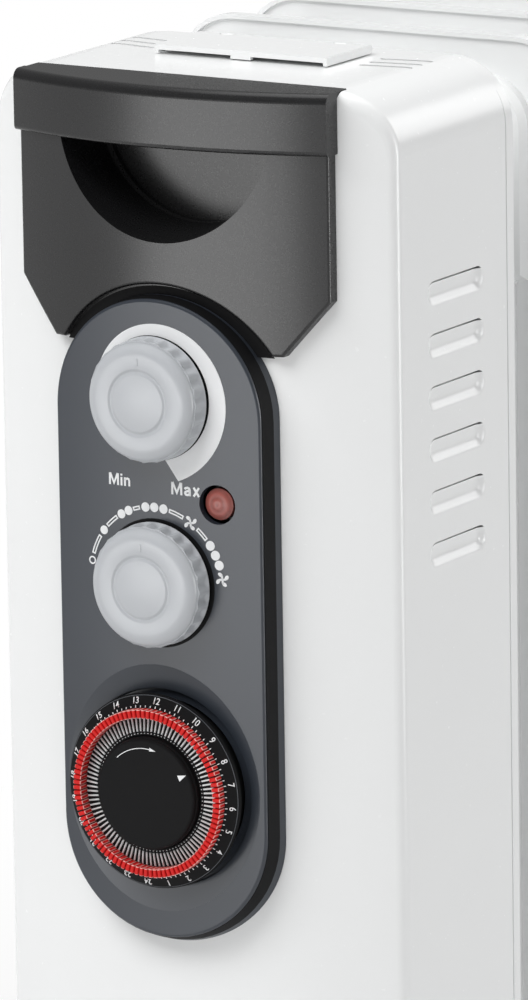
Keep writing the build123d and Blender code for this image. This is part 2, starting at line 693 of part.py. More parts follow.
def panel_form(inset):
    """Obround block with a bowed face, whose walls flare towards the box, most of all at the bottom."""
    face = upright_slot(PANEL_HALF_WIDTH - inset, -PANEL_TOP_DROP - inset, -PANEL_BOTTOM_DROP + inset)
    base_half = PANEL_HALF_WIDTH + PANEL_FLARE_SIDE - inset
    base_bottom = -PANEL_BOTTOM_DROP - PANEL_FLARE_BOTTOM + inset
    base = upright_slot(base_half, -PANEL_TOP_DROP + PANEL_FLARE_SIDE - inset, base_bottom)
    face_y = PANEL_FACE_Y + inset
    base_y = PANEL_FACE_Y + PANEL_DEPTH + inset
    near = Plane((0, face_y, 0), x_dir=(1, 0, 0), z_dir=(0, -1, 0)) * face
    far = Plane((0, base_y, 0), x_dir=(1, 0, 0), z_dir=(0, -1, 0)) * base
    bow = Pos(0, PANEL_FACE_Y + PANEL_BOW_R, -BOX_HEIGHT / 2) * Cylinder(PANEL_BOW_R - inset, FAR)
    form = loft([far.face(), near.face()], ruled=True) & bow
    if inset:
        return form
    return fillet(form.faces().sort_by(Axis.Y)[0].edges(), PANEL_EDGE_R)


def make_carrier():
    """Sheet channel inside the box that the switches stand on, its flanges on the box front."""
    top_z = -PANEL_TOP_DROP - CARRIER_INSET
    bottom_z = -PANEL_BOTTOM_DROP + CARRIER_INSET
    half = CARRIER_HALF_WIDTH
    web = block((-half, CARRIER_Y, bottom_z), (half, CARRIER_BACK_Y, top_z))
    flange_y = bow_y(half - CARRIER_SHEET, BOW_R - BOX_WALL) + SEAT_GAP
    for side in (-1, 1):
        outer = side * half
        inner = side * (half - CARRIER_SHEET)
        web += block((min(outer, inner), flange_y, bottom_z), (max(outer, inner), CARRIER_BACK_Y, top_z))
    web -= bow_band(BOW_R - BOX_WALL - SEAT_GAP, BOW_R + BODY_WIDTH, bottom_z, top_z)
    for drop, radius in ((THERMOSTAT_DROP, BUSH_R), (SELECTOR_DROP, BUSH_R), (TIMER_DROP, TIMER_BOSS_R)):
        web -= front_rod(radius + SEAT_GAP, CARRIER_Y, CARRIER_BACK_Y, z=-drop)
    return web


def flute_rod():
    """Cutter that leans away from the knob's taper, so that a flute fades away before the face."""
    back_r = KNOB_R + KNOB_FLUTE_R - KNOB_FLUTE_DEPTH
    taper = (KNOB_R - KNOB_FACE_R) * KNOB_FLUTE_LENGTH / KNOB_HEIGHT
    lean = Vector(KNOB_FLUTE_DEPTH - taper, -KNOB_FLUTE_LENGTH, 0)
    start = Vector(back_r, KNOB_BACK_Y, 0) - lean / 4
    return extrude(Plane(start, x_dir=(0, 0, 1), z_dir=lean) * Circle(KNOB_FLUTE_R), 1.5 * lean.length)


def make_knob(drop):
    section = [(0, KNOB_FACE_Y), (KNOB_FACE_R, KNOB_FACE_Y), (KNOB_R, KNOB_BACK_Y), (0, KNOB_BACK_Y)]
    knob = turned(section, 0, 0)
    knob = fillet(knob.faces().sort_by(Axis.Y)[0].edges(), KNOB_EDGE_R)
    rod = flute_rod()
    knob -= [Rot(0, step * 360 / KNOB_FLUTES, 0) * rod for step in range(KNOB_FLUTES)]
    ring = Circle(KNOB_RING_R + KNOB_RING_WIDTH / 2) - Circle(KNOB_RING_R - KNOB_RING_WIDTH / 2)
    knob -= front_prism(ring, KNOB_FACE_Y, KNOB_FACE_Y + KNOB_RING_DEPTH)
    knob -= front_rod(SPINDLE_R, KNOB_BACK_Y - KNOB_SOCKET_DEPTH, KNOB_BACK_Y)
    return Pos(0, 0, -drop) * knob


def make_spindle(drop):
    return front_rod(SPINDLE_R, KNOB_BACK_Y - KNOB_SOCKET_DEPTH, CARRIER_BACK_Y + SPINDLE_SEAT, z=-drop)


def make_switch(drop, size):
    """Case behind the carrier with a bush for its spindle."""
    width, depth, height = size
    outline = Pos(0, -drop) * Rectangle(width, height)
    case = front_prism(outline, CARRIER_BACK_Y, CARRIER_BACK_Y + depth)
    case += front_rod(BUSH_R, CARRIER_Y - CARRIER_SHEET, CARRIER_BACK_Y, z=-drop)
    bore_end = CARRIER_BACK_Y + SPINDLE_SEAT + BODY_GAP
    return case - front_rod(SPINDLE_R + RUNNING_GAP, CARRIER_Y - CARRIER_SHEET, bore_end, z=-drop)


def make_pilot_lens():
    rim_y = PANEL_FACE_Y + LAMP_RECESS
    ball_r = (LENS_R**2 + LENS_DOME**2) / (2 * LENS_DOME)
    ball = Pos(LAMP_X, rim_y - LENS_DOME + ball_r, -LAMP_DROP) * Sphere(ball_r)
    body = front_rod(LENS_R, rim_y - 2 * LENS_DOME, rim_y + LENS_BODY, LAMP_X, -LAMP_DROP)
    return body & ball


def make_pilot_lamp():
    near_y = PANEL_FACE_Y + LAMP_RECESS + LENS_BODY
    return front_rod(LAMP_HOLE_R - 2 * BODY_GAP, near_y, CARRIER_Y, LAMP_X, -LAMP_DROP)


# Timer


def make_timer_body():
    outline = Pos(0, -TIMER_DROP) * Rectangle(TIMER_CASE, TIMER_CASE)
    case = front_prism(outline, CARRIER_BACK_Y, CARRIER_BACK_Y + TIMER_CASE_DEPTH)
    boss = front_rod(TIMER_BOSS_R, TIMER_BACK_Y + BODY_GAP, CARRIER_BACK_Y, z=-TIMER_DROP)
    post = front_rod(TIMER_POST_R, TIMER_WEB_Y - BODY_GAP, TIMER_BACK_Y + BODY_GAP, z=-TIMER_DROP)
    return case + boss + post


def make_timer_hub():
    hub = front_rod(TIMER_HUB_R, TIMER_HUB_Y, TIMER_WEB_Y - BODY_GAP, z=-TIMER_DROP)
    return chamfer(hub.faces().sort_by(Axis.Y)[0].edges(), TIMER_RING_BEVEL)


def make_timer_ring():
    """Dial on a drum: a thin rim, a sloped step for the numbers, the trippers' groove and a rib ring."""
    groove_outer = TRIPPER_OUTER_R + BODY_GAP
    groove_inner = TRIPPER_INNER_R - BODY_GAP
    groove_floor = TRIPPER_ROOT_Y + TRIPPER_TRAVEL + BODY_GAP
    rim_back = TIMER_FACE_Y + TIMER_RIM
    rib_y = TIMER_FACE_Y - RIB_RING_PROUD
    well_r = TIMER_HUB_R + BODY_GAP
    bore_r = TIMER_POST_R + RUNNING_GAP
    section = [
        (bore_r, TIMER_BACK_Y),
        (TIMER_DRUM_R, TIMER_BACK_Y),
        (TIMER_DRUM_R, rim_back),
        (TIMER_R, rim_back),
        (TIMER_R, TIMER_FACE_Y + TIMER_RING_BEVEL),
        (TIMER_R - TIMER_RING_BEVEL, TIMER_FACE_Y),
        (groove_outer, TIMER_FACE_Y - TIMER_CONE_RISE),
        (groove_outer, groove_floor),
        (groove_inner, groove_floor),
        (groove_inner, rib_y),
        (well_r, rib_y - RIB_RING_RISE),
        (well_r, TIMER_WEB_Y),
        (bore_r, TIMER_WEB_Y),
    ]
    return turned(section, 0, -TIMER_DROP)


def make_trippers(quarter):
    """A quarter of a day's trippers, one for each fifteen minutes, in the dial's groove."""
    per_quarter = TRIPPER_COUNT // len(TRIPPER_QUARTERS)
    middle_r = (TRIPPER_INNER_R + TRIPPER_OUTER_R) / 2
    blade = Pos(middle_r, 0) * Rectangle(TRIPPER_OUTER_R - TRIPPER_INNER_R, TRIPPER_WIDTH)
    trippers = []
    for step in range(quarter * per_quarter, (quarter + 1) * per_quarter):
        angle = (step + 0.5) * 360 / TRIPPER_COUNT
        outline = Pos(0, -TIMER_DROP) * Rot(0, 0, angle) * blade
        trippers.append(front_prism(outline, TRIPPER_TIP_Y, TRIPPER_ROOT_Y))
    return trippers


# Blower


def blower_ends():
    """Left and right ends of the impeller."""
    return BLOWER_X - IMPELLER_LENGTH / 2, BLOWER_X + IMPELLER_LENGTH / 2


def make_blower_impeller():
    left, right = blower_ends()
    centre = Pos(BLOWER_Y, -BLOWER_DROP)
    blade = Rot(0, 0, BLADE_PITCH_ANGLE) * Rectangle(BLADE_CHORD, BLADE_SHEET)
    blade = Pos(IMPELLER_R - BLADE_CHORD / 2, 0) * blade
    blades = Sketch() + [Rot(0, 0, step * 360 / IMPELLER_BLADES) * blade for step in range(IMPELLER_BLADES)]
    drum = side_prism(centre * blades, left, right)
    for disc_left in (left, right - IMPELLER_DISC):
        drum += side_prism(centre * Circle(IMPELLER_R), disc_left, disc_left + IMPELLER_DISC)
    shaft_end = right + IMPELLER_END_GAP + SCROLL_SHEET + BLOWER_SHAFT_SEAT
    shaft_start = left - IMPELLER_END_GAP - SCROLL_SHEET
    return drum + side_rod(BLOWER_SHAFT_R, shaft_start, shaft_end, BLOWER_Y, -BLOWER_DROP)


def make_blower_housing():
    left, right = blower_ends()
    left -= IMPELLER_END_GAP
    right += IMPELLER_END_GAP
    inner = IMPELLER_R + SCROLL_GAP
    outer = inner + SCROLL_SHEET
    rise = SCROLL_MOUTH_RISE
    wall = Circle(outer) - Circle(inner) - Pos(0, outer) * Rectangle(3 * outer, 2 * outer)
    wall += Pos((inner + outer) / 2, rise / 2) * Rectangle(SCROLL_SHEET, rise)
    tongue_low = math.sqrt((IMPELLER_R + SCROLL_GAP / 2) ** 2 - SCROLL_TONGUE_Y**2)
    wall += Pos(SCROLL_TONGUE_Y, (tongue_low + rise) / 2) * Rectangle(SCROLL_SHEET, rise - tongue_low)
    plate = Pos(0, (rise - outer) / 2) * Rectangle(2 * outer, rise + outer)
    centre = Pos(BLOWER_Y, -BLOWER_DROP)
    housing = side_prism(centre * plate, left - SCROLL_SHEET, left)
    housing += side_prism(centre * plate, right, right + SCROLL_SHEET)
    housing += side_prism(centre * wall, left, right)
    bore_r = BLOWER_SHAFT_R + RUNNING_GAP
    return housing - side_rod(bore_r, left - SCROLL_SHEET, right + SCROLL_SHEET, BLOWER_Y, -BLOWER_DROP)


def make_blower_motor():
    near = blower_ends()[1] + IMPELLER_END_GAP + SCROLL_SHEET
    outline = RectangleRounded(MOTOR_WIDTH, MOTOR_WIDTH, MOTOR_CORNER_R)
    case = side_prism(Pos(BLOWER_Y, -BLOWER_DROP) * outline, near, near + MOTOR_LENGTH)
    bore_end = near + BLOWER_SHAFT_SEAT + BODY_GAP
    return case - side_rod(BLOWER_SHAFT_R + RUNNING_GAP, near, bore_end, BLOWER_Y, -BLOWER_DROP)


def make_blower_element():
    """Heating frame over the blower's mouth, with open cells for the air."""
    left, right = blower_ends()
    low_z = -BLOWER_DROP + SCROLL_MOUTH_RISE
    front_y = BLOWER_Y + SCROLL_TONGUE_Y - SCROLL_SHEET / 2
    rear_y = BLOWER_Y + IMPELLER_R + SCROLL_GAP + SCROLL_SHEET
    frame = block((left, front_y, low_z), (right, rear_y, low_z + ELEMENT_HEIGHT))
    cell = (right - left - ELEMENT_WALL) / ELEMENT_CELLS
    for step in range(ELEMENT_CELLS):
        cell_left = left + ELEMENT_WALL + step * cell
        cell_right = cell_left + cell - ELEMENT_WALL
        low = (cell_left, front_y + ELEMENT_WALL, low_z)
        frame -= block(low, (cell_right, rear_y - ELEMENT_WALL, low_z + ELEMENT_HEIGHT))
    return frame


def make_thermal_cutout():
    near_y = SHIELD_FRONT_Y - CUTOUT_LENGTH
    body = front_rod(CUTOUT_R, near_y, SHIELD_FRONT_Y, CUTOUT_X, CUTOUT_Z)
    return chamfer(body.faces().sort_by(Axis.Y)[0].edges(), CAP_BEVEL)


def make_terminal_block():
    width, depth, height = TERMINAL_SIZE
    middle_z = BOX_FLOOR_Z + TERMINAL_RISE + height / 2
    near_y = SHIELD_FRONT_Y - depth
    bar = front_prism(Pos(TERMINAL_X, middle_z) * Rectangle(width, height), near_y, SHIELD_FRONT_Y)
    pitch = width / TERMINAL_POLES
    for pole in range(TERMINAL_POLES):
        x = TERMINAL_X - width / 2 + (pole + 0.5) * pitch
        bar -= front_rod(TERMINAL_HOLE_R, near_y, near_y + TERMINAL_HOLE_DEPTH, x, middle_z)
    return bar


# Wheeled feet


def foot_y(end):
    """Middle of the gap that a foot stands under: the first gap or the last."""
    return FIN_1_Y + FIN_PITCH / 2 if end == "front" else FIN_LAST_Y - FIN_PITCH / 2


def ubolt_x():
    return GALLERY_RING_R + BODY_GAP + UBOLT_R


def make_foot(end):
    y = foot_y(end)
    place = Pos(0, y, FOOT_TOP_Z - FOOT_HEIGHT)
    outline = RectangleRounded(FOOT_LENGTH, FOOT_WIDTH, FOOT_CORNER_R)
    hollow = offset(outline, -FOOT_SHEET)
    shell = place * (extrude(outline, FOOT_HEIGHT) - extrude(hollow, FOOT_HEIGHT - FOOT_SHEET))
    low_z = FOOT_TOP_Z - FOOT_SHEET
    for side in (-1, 1):
        shell -= upright_rod(STEM_R + RUNNING_GAP, low_z, FOOT_TOP_Z, side * CASTOR_X, y)
        shell -= upright_rod(UBOLT_R + BODY_GAP, low_z, FOOT_TOP_Z, side * ubolt_x(), y)
    return shell


def make_ubolts():
    """Bolt over the lower gallery ring, its legs through the foot."""
    bolts = []
    low_z = FOOT_TOP_Z - FOOT_SHEET - NUT_HEIGHT - UBOLT_TAIL
    for end in ("front", "rear"):
        bend = Pos(0, foot_y(end), LOWER_GALLERY_Z) * Rot(90, 0, 0) * Torus(ubolt_x(), UBOLT_R)
        bolt = bend & block((-FAR, -FAR, LOWER_GALLERY_Z), (FAR, FAR, FAR))
        for side in (-1, 1):
            bolt += upright_rod(UBOLT_R, low_z, LOWER_GALLERY_Z, side * ubolt_x(), foot_y(end))
        bolts.append(bolt)
    return bolts


def make_wing_nuts():
    nuts = []
    top_z = FOOT_TOP_Z - FOOT_SHEET
    for end in ("front", "rear"):
        for side in (-1, 1):
            x = side * ubolt_x()
            y = foot_y(end)
            nut = upright_rod(NUT_R, top_z - NUT_HEIGHT, top_z, x, y)
            wing_low = (x - WING_SPAN / 2, y - WING_SHEET / 2, top_z - NUT_HEIGHT - WING_HEIGHT / 2)
            nut += block(wing_low, (x + WING_SPAN / 2, y + WING_SHEET / 2, top_z - NUT_HEIGHT / 2))
            bore_low = top_z - NUT_HEIGHT - WING_HEIGHT
            nuts.append(nut - upright_rod(UBOLT_R + SEAT_GAP, bore_low, top_z, x, y))
    return nuts


def castor_place(side, end):
    return Pos(side * CASTOR_X, foot_y(end), FLOOR_Z)


def make_castor_fork():
    """Hooded fork on its swivel stem, standing at the origin with the wheel behind the stem."""
    stem_low = CASTOR_HEIGHT + FOOT_HEIGHT - FOOT_SHEET - BODY_GAP
    hood_inner = WHEEL_R + FORK_HOOD_GAP
    hood_outer = hood_inner + FORK_HOOD_SHEET
    half = FORK_WEB / 2 + BODY_GAP + WHEEL_WIDTH
    middle = Pos(FORK_TRAIL, WHEEL_R)
    crop = Pos(0, -hood_outer) * Rectangle(3 * hood_outer, 2 * hood_outer)
    hood = side_prism(middle * (Circle(hood_outer) - Circle(hood_inner) - crop), -half, half)
    web = side_prism(middle * (Circle(hood_outer) - crop + Circle(WHEEL_HUB_R)), -FORK_WEB / 2, FORK_WEB / 2)
    neck = upright_rod(FORK_NECK_R, WHEEL_R + FORK_TRAIL, stem_low)
    neck -= side_prism(middle * Circle(hood_inner), -half, half)
    stem_top = CASTOR_HEIGHT + FOOT_HEIGHT + BODY_GAP
    stem = upright_rod(STEM_R, stem_low, stem_top)
    head = upright_rod(STEM_HEAD_R, stem_top, stem_top + STEM_HEAD)
    fork = hood + web + neck + stem + head
    return fork - side_rod(AXLE_R, -half, half, FORK_TRAIL, WHEEL_R)


def make_castor_axle():
    half = FORK_WEB / 2 + BODY_GAP + WHEEL_WIDTH
    return side_rod(AXLE_R, -half, half, FORK_TRAIL, WHEEL_R)


def make_castor_wheels():
    """Twin wheels, one on each side of the fork's web."""
    near = FORK_WEB / 2 + BODY_GAP
    wheel = side_rod(WHEEL_R, near, near + WHEEL_WIDTH, FORK_TRAIL, WHEEL_R)
    wheel = chamfer(wheel.edges().filter_by(GeomType.CIRCLE), WHEEL_EDGE)
    dish = Circle(WHEEL_DISH_R) - Circle(WHEEL_HUB_R)
    dish_near = near + WHEEL_WIDTH - WHEEL_DISH_DEPTH
    wheel -= side_prism(Pos(FORK_TRAIL, WHEEL_R) * dish, dish_near, near + WHEEL_WIDTH)
    wheel -= side_rod(AXLE_R + RUNNING_GAP, near, near + WHEEL_WIDTH, FORK_TRAIL, WHEEL_R)
    return [wheel, mirror(wheel, Plane.YZ)]


def all_parts():
    """Every piece by its node name, as one solid or a group of separate solids."""
    parts = {}
    fin = make_fin()
    for number in range(FIN_COUNT):
        parts[f"fin_{number + 1}"] = Pos(0, FIN_1_Y + number * FIN_PITCH, 0) * fin
    parts["upper_gallery_rings"] = make_gallery_rings(UPPER_GALLERY_Z)
    parts["lower_gallery_rings"] = make_gallery_rings(LOWER_GALLERY_Z)
    parts["gallery_end_caps"] = make_gallery_caps()
    parts["oil_filler_plug"] = make_filler_plug()
    parts["heater_flange"] = make_heater_flange()
    parts["heater_tubes"] = make_heater_tubes()
    parts["box_cover"] = make_box_cover()
    parts["heat_shield"] = make_heat_shield()
    parts["cord_gland"] = make_cord_gland()
    parts["top_flap"] = make_top_flap()
    parts["flap_hinge_pin"] = hinge_pin(HINGE_PIN_R)
    parts["carry_handle"] = make_handle()
    parts["control_panel"] = make_control_panel()
    parts["control_carrier"] = make_carrier()
    parts["thermostat_knob"] = make_knob(THERMOSTAT_DROP)
    parts["thermostat_spindle"] = make_spindle(THERMOSTAT_DROP)
    parts["thermostat_body"] = make_switch(THERMOSTAT_DROP, THERMOSTAT_SIZE)
    parts["selector_knob"] = make_knob(SELECTOR_DROP)
    parts["selector_spindle"] = make_spindle(SELECTOR_DROP)
    parts["selector_switch"] = make_switch(SELECTOR_DROP, SELECTOR_SIZE)
    parts["pilot_lens"] = make_pilot_lens()
    parts["pilot_lamp"] = make_pilot_lamp()
    parts["timer_body"] = make_timer_body()
    parts["timer_hub"] = make_timer_hub()
    parts["timer_ring"] = make_timer_ring()
    for quarter, name in enumerate(TRIPPER_QUARTERS):
        parts[f"timer_trippers_{name}"] = make_trippers(quarter)
    parts["blower_impeller"] = make_blower_impeller()
    parts["blower_housing"] = make_blower_housing()
    parts["blower_motor"] = make_blower_motor()
    parts["blower_element"] = make_blower_element()
    parts["thermal_cutout"] = make_thermal_cutout()
    parts["terminal_block"] = make_terminal_block()
    for end in ("front", "rear"):
        parts[f"{end}_foot"] = make_foot(end)
    parts["foot_u_bolts"] = make_ubolts()
    parts["foot_wing_nuts"] = make_wing_nuts()
    fork = make_castor_fork()
    axle = make_castor_axle()
    wheels = make_castor_wheels()
    for end in ("front", "rear"):
        for hand, side in (("left", -1), ("right", 1)):
            place = castor_place(side, end)
            parts[f"castor_fork_{end}_{hand}"] = place * fork
            parts[f"castor_axle_{end}_{hand}"] = place * axle
            parts[f"castor_wheels_{end}_{hand}"] = [place * wheel for wheel in wheels]
    return parts


def main():
    os.makedirs("parts", exist_ok=True)
    for name, shape in all_parts().items():
        solids = shape if isinstance(shape, list) else [shape]
        placed = [PLACE * solid for piece in solids for solid in piece.solids()]
        export_step(placed[0] if len(placed) == 1 else Compound(placed), f"parts/{name}.step")


if __name__ == "__main__":
    main()
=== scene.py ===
"""Dresses a packed oil filled radiator heater.

It gets painted steel, moulded controls, printed scales and a studio.
"""
import math

import bmesh
import bpy
from bpy.props import FloatProperty, FloatVectorProperty, PointerProperty
from mathutils import Matrix, Vector


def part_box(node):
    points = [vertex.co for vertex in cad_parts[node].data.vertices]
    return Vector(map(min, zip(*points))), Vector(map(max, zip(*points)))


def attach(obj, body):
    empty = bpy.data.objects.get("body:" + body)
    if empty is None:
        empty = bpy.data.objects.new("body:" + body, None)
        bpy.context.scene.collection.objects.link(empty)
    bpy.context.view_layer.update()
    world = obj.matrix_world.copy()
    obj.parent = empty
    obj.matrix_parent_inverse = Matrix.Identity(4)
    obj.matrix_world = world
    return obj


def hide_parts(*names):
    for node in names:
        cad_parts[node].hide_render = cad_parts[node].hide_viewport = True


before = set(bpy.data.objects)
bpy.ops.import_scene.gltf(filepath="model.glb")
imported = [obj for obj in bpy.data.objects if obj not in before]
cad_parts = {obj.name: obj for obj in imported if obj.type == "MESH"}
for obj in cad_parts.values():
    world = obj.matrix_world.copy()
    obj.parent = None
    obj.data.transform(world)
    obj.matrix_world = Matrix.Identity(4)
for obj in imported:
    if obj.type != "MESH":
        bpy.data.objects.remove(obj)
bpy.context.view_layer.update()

bl_info = {
    "name": "Oil filled radiator heater",
    "version": (1, 0, 0),
    "blender": (4, 5, 0),
    "location": "View3D > Sidebar > Radiator",
    "description": "Dresses the packed heater with finishes, print, knobs, a day dial and a studio",
    "category": "Object",
}

MM = 0.001

# Points closer than this become one
MERGE_DISTANCE = 0.0005 * MM

# Thickness of a thin skin that is laid on the solids
SKIN = 0.1 * MM

# Edges of a smooth piece that turn by more than this many degrees stay crisp
CRISP_ANGLE = 40
KNOB_CRISP_ANGLE = 50

# Height of a capital in Blender's own font, as a share of the text size
FONT_CAPITAL = 0.73

# Counts that belong to the object
HOURS = 24
QUARTERS_PER_HOUR = 4
TRIPPER_GROUPS = ("night", "morning", "afternoon", "evening")
KNOB_FLUTES = 24
LOUVRE_COUNT = 6
LOUVRE_SIDES = ("left", "right")
CASTORS = [f"{end}_{hand}" for end in ("front", "rear") for hand in ("left", "right")]

# Knobs: CAD node, the body it turns with, radius of the black ring of painted shadow round its back
# in mm
KNOBS = (
    ("thermostat_knob", "thermostat_dial", 19.1),
    ("selector_knob", "selector_dial", 19.7),
)

# Share of the way round the panel that one of its round ends takes
ROUND_END = 0.4

# All angles on the panel and the dial are in degrees from three o'clock, against the clock.
# The thermostat's band: its cool end, its hot end and how far the hot end slants
BAND_COOL, BAND_HOT, BAND_SLANT = 250.0, -79.0, 7.0

# The thermostat's words: text, place beside and above the axis in mm, share of the common height
SCALE_WORDS = (("Min", -12.7, -26.1, 1.0), ("Max", 10.4, -26.9, 1.06))

# Midnight on the dial at rest, and the ends of the arrow's line on its hub
MIDNIGHT = -94.4
ARROW_FROM, ARROW_TO = 133.0, 82.0

# Heads of the hub's arrow and time pointer: angle, heading, length in mm, width in mm
ARROW_HEAD = (80.0, -11.0, 2.1, 1.1)
POINTER_HEAD = (28.0, 25.0, 2.9, 1.9)

# Dots on the dial: radius at the foot, radius at the top, height
DOT_FOOT, DOT_TOP, DOT_HEIGHT = 0.24 * MM, 0.14 * MM, 0.3 * MM

# Soft edge of the hub's cap: steps inwards from its radius and down from its top, in mm
CAP_EDGE = ((0.9, 0.0), (0.4, 0.12), (0.1, 0.45), (0.0, 0.9))

# Fan sign: number of blades, turn in degrees, then in shares of its size the hub's radius and
# the two ovals of a blade, as place, half axes and lean in degrees
FAN_BLADES = 4
FAN_TURN = 8
FAN_HUB = 0.09
FAN_OVALS = (((0.0, 0.16), (0.07, 0.17), 0), ((-0.1, 0.32), (0.12, 0.17), 50))

# The selector's signs clockwise from off: kind, angle, size along the arc in mm
SELECTOR_SIGNS = (
    ("ring", 168.7, 2.5),
    ("link", 155.3, 6.4),
    ("dot", 141.8, 2.7),
    ("link", 131.1, 4.8),
    ("dot", 120.6, 2.8),
    ("dot", 113.4, 2.8),
    ("link", 105.9, 2.5),
    ("dot", 97.8, 2.9),
    ("dot", 90.1, 2.9),
    ("dot", 82.1, 2.9),
    ("link", 70.9, 5.2),
    ("fan", 57.5, 4.8),
    ("link", 45.3, 4.4),
    ("dot", 34.7, 3.0),
    ("dot", 26.6, 3.0),
    ("dot", 18.7, 3.0),
    ("fan", 7.9, 4.8),
)

# Letters of the two words: width, then the lines that draw them, in heights of a capital
LETTERS = {
    "M": (0.9, (
        ((0.09, 0.0), (0.09, 1.0)),
        ((0.81, 0.0), (0.81, 1.0)),
        ((0.12, 1.0), (0.45, 0.16), (0.78, 1.0)),
    )),
    "i": (0.18, (((0.09, 0.0), (0.09, 0.72)), ((0.09, 0.84), (0.09, 1.0)))),
    "n": (0.56, (
        ((0.09, 0.0), (0.09, 0.72)),
        ((0.09, 0.5), (0.17, 0.6), (0.3, 0.65), (0.42, 0.6), (0.47, 0.46), (0.47, 0.0)),
    )),
    "a": (0.56, (
        ((0.06, 0.52), (0.13, 0.61), (0.27, 0.65), (0.41, 0.6), (0.46, 0.46), (0.46, 0.0)),
        (
            (0.46, 0.4), (0.24, 0.37), (0.12, 0.3), (0.09, 0.19),
            (0.14, 0.1), (0.26, 0.07), (0.38, 0.11), (0.46, 0.21),
        ),
    )),
    "x": (0.58, (((0.08, 0.72), (0.5, 0.0)), ((0.5, 0.72), (0.08, 0.0)))),
}

# Line width and gap of the letters, in heights of a capital, and how far they are widened
LETTER_STROKE = 0.18
LETTER_GAP = 0.13
LETTER_STRETCH = 1.12


def linear(hex_colour):
    """An sRGB hex colour as linear red, green and blue."""
    channels = [int(hex_colour[start:start + 2], 16) / 255 for start in (0, 2, 4)]
    return tuple(c / 12.92 if c <= 0.04045 else ((c + 0.055) / 1.055) ** 2.4 for c in channels)


def length(name, description, millimetres):
    """A size that a user can change, given in millimetres."""
    return FloatProperty(
        name=name, description=description, default=millimetres * MM, unit="LENGTH", precision=5
    )


def angle(name, description, degrees):
    """An angle that a user can change, given in degrees."""
    return FloatProperty(
        name=name, description=description, default=math.radians(degrees), subtype="ANGLE"
    )


def factor(name, description, default):
    """A share that a user can change."""
    return FloatProperty(
        name=name, description=description, default=default, subtype="FACTOR", min=0.0, max=1.0
    )


def colour(name, description, hex_colour):
    """A colour that a user can change."""
    return FloatVectorProperty(
        name=name, description=description, default=linear(hex_colour),
        subtype="COLOR", size=3, min=0.0, max=1.0,
    )


class RadiatorLouvreSizes(bpy.types.PropertyGroup):
    """Pressed louvres in the sides of the control box."""

    width: length("Width", "Width of a louvre", 34.2)
    height: length("Height", "Height of a louvre", 8.0)
    pitch: length("Pitch", "Step from one louvre to the next one down", 15.9)
    top: length("Top", "Height of the highest louvre's upper edge above the floor", 575.9)
    rear: length("Rear", "How far the louvres' middle lies before the box's rear edge", 31.5)
    depth: length("Depth", "How deep the pressing goes", 1.35)
    lip: length("Lip", "Flat edge round the pressing", 0.5)
    slope: length("Slope", "Width of the slope from the edge to the full depth", 2.4)
    slit: length("Slit", "Height of the open slit along the upper edge", 0.9)
    hollow: factor("Hollow", "Share of the depth that is lost again at the upper edge", 0.35)


class RadiatorPrintSizes(bpy.types.PropertyGroup):
    """Print, thin fittings and pieces of painted shade on the control panel."""

    ink: length("Ink", "How far the print stands on the surface", 0.12)
    panel_bow: length("Panel bow", "Radius that the panel's face is bowed to", 328.0)
    panel_foot: length("Panel foot", "Radius of the panel's rounded end at its foot", 36.5)
    frame_face: length("Frame face", "Radius of the panel's rounded end at its face", 35.3)
    frame_depth: length("Frame depth", "Depth from the panel's face to its foot", 12.4)
    frame_slip: length("Frame slip", "How far the panel's wall slants down at its lower end", 3.6)
    # Painted shade: the black band on the panel's wall stands in for the shade that falls on the
    # wall
    frame_start: length("Frame start", "How far behind the face the black frame starts", 0.85)
    frame_stand: length("Frame stand", "How far the frame stands on the panel's wall", 0.2)
    frame_share: factor("Frame share", "Share of the panel's wall that the frame covers", 0.62)
    box_bow: length("Box bow", "Radius that the box front is bowed to", 150.0)
    # Painted shade: the black strip in the handle's arch stands in for the shade on the ledge there
    seal_inner: length("Seal inner radius", "Inner radius of the seal in the handle's arch", 35.9)
    seal_outer: length("Seal outer radius", "Outer radius of the seal, the arch's own", 42.9)
    seal_drop: length("Seal drop", "How far the arch's middle lies below the panel end's", 4.0)
    seal_bow: length("Seal bow", "Radius that the ledge under the seal is bowed to", 151.5)
    seal_ledge: length("Seal ledge", "How far the ledge stands on the box front", 1.45)
    seal_reach: angle("Seal reach", "Half the angle that the seal spans", 57.0)
    dish_edge: length("Dish edge", "Radius of the dish round the dial on a flat face", 38.0)
    dish_well: length("Dish well", "Inner radius of the dish", 30.5)
    dish_slope: factor("Dish slope", "Fall of the panel's dish over its width", 0.375)
    dish_skin_slope: factor("Dish skin slope", "Fall of the dish's skin over its width", 0.17)
    dish_hem: length("Dish hem", "How far the skin turns down along the well", 1.2)
    band_inner: length("Band inner radius", "Inner radius of the thermostat's band", 18.9)
    band_thin: length("Band thin end", "Outer radius of the band at its cool end", 19.0)
    band_thick: length("Band thick end", "Outer radius of the band at its hot end", 25.9)
    word_height: length("Word height", "Height of the capitals beside the thermostat", 3.6)
    sign_radius: length("Sign radius", "Radius of the selector's ring of signs", 23.1)
    sign_shift: length("Sign shift", "How far the ring of signs sits beside the knob's axis", -0.5)
    sign_stroke: length("Sign stroke", "Line width of the outlined signs", 0.42)
    link_width: length("Link width", "Width of the outlined bars between the signs", 1.3)
    # Painted shadow: black rings round the knobs' backs stand in for the shadow gap round each knob
    seat_inner: length("Seat inner radius", "Inner radius of the dark seats under the knobs", 14.0)


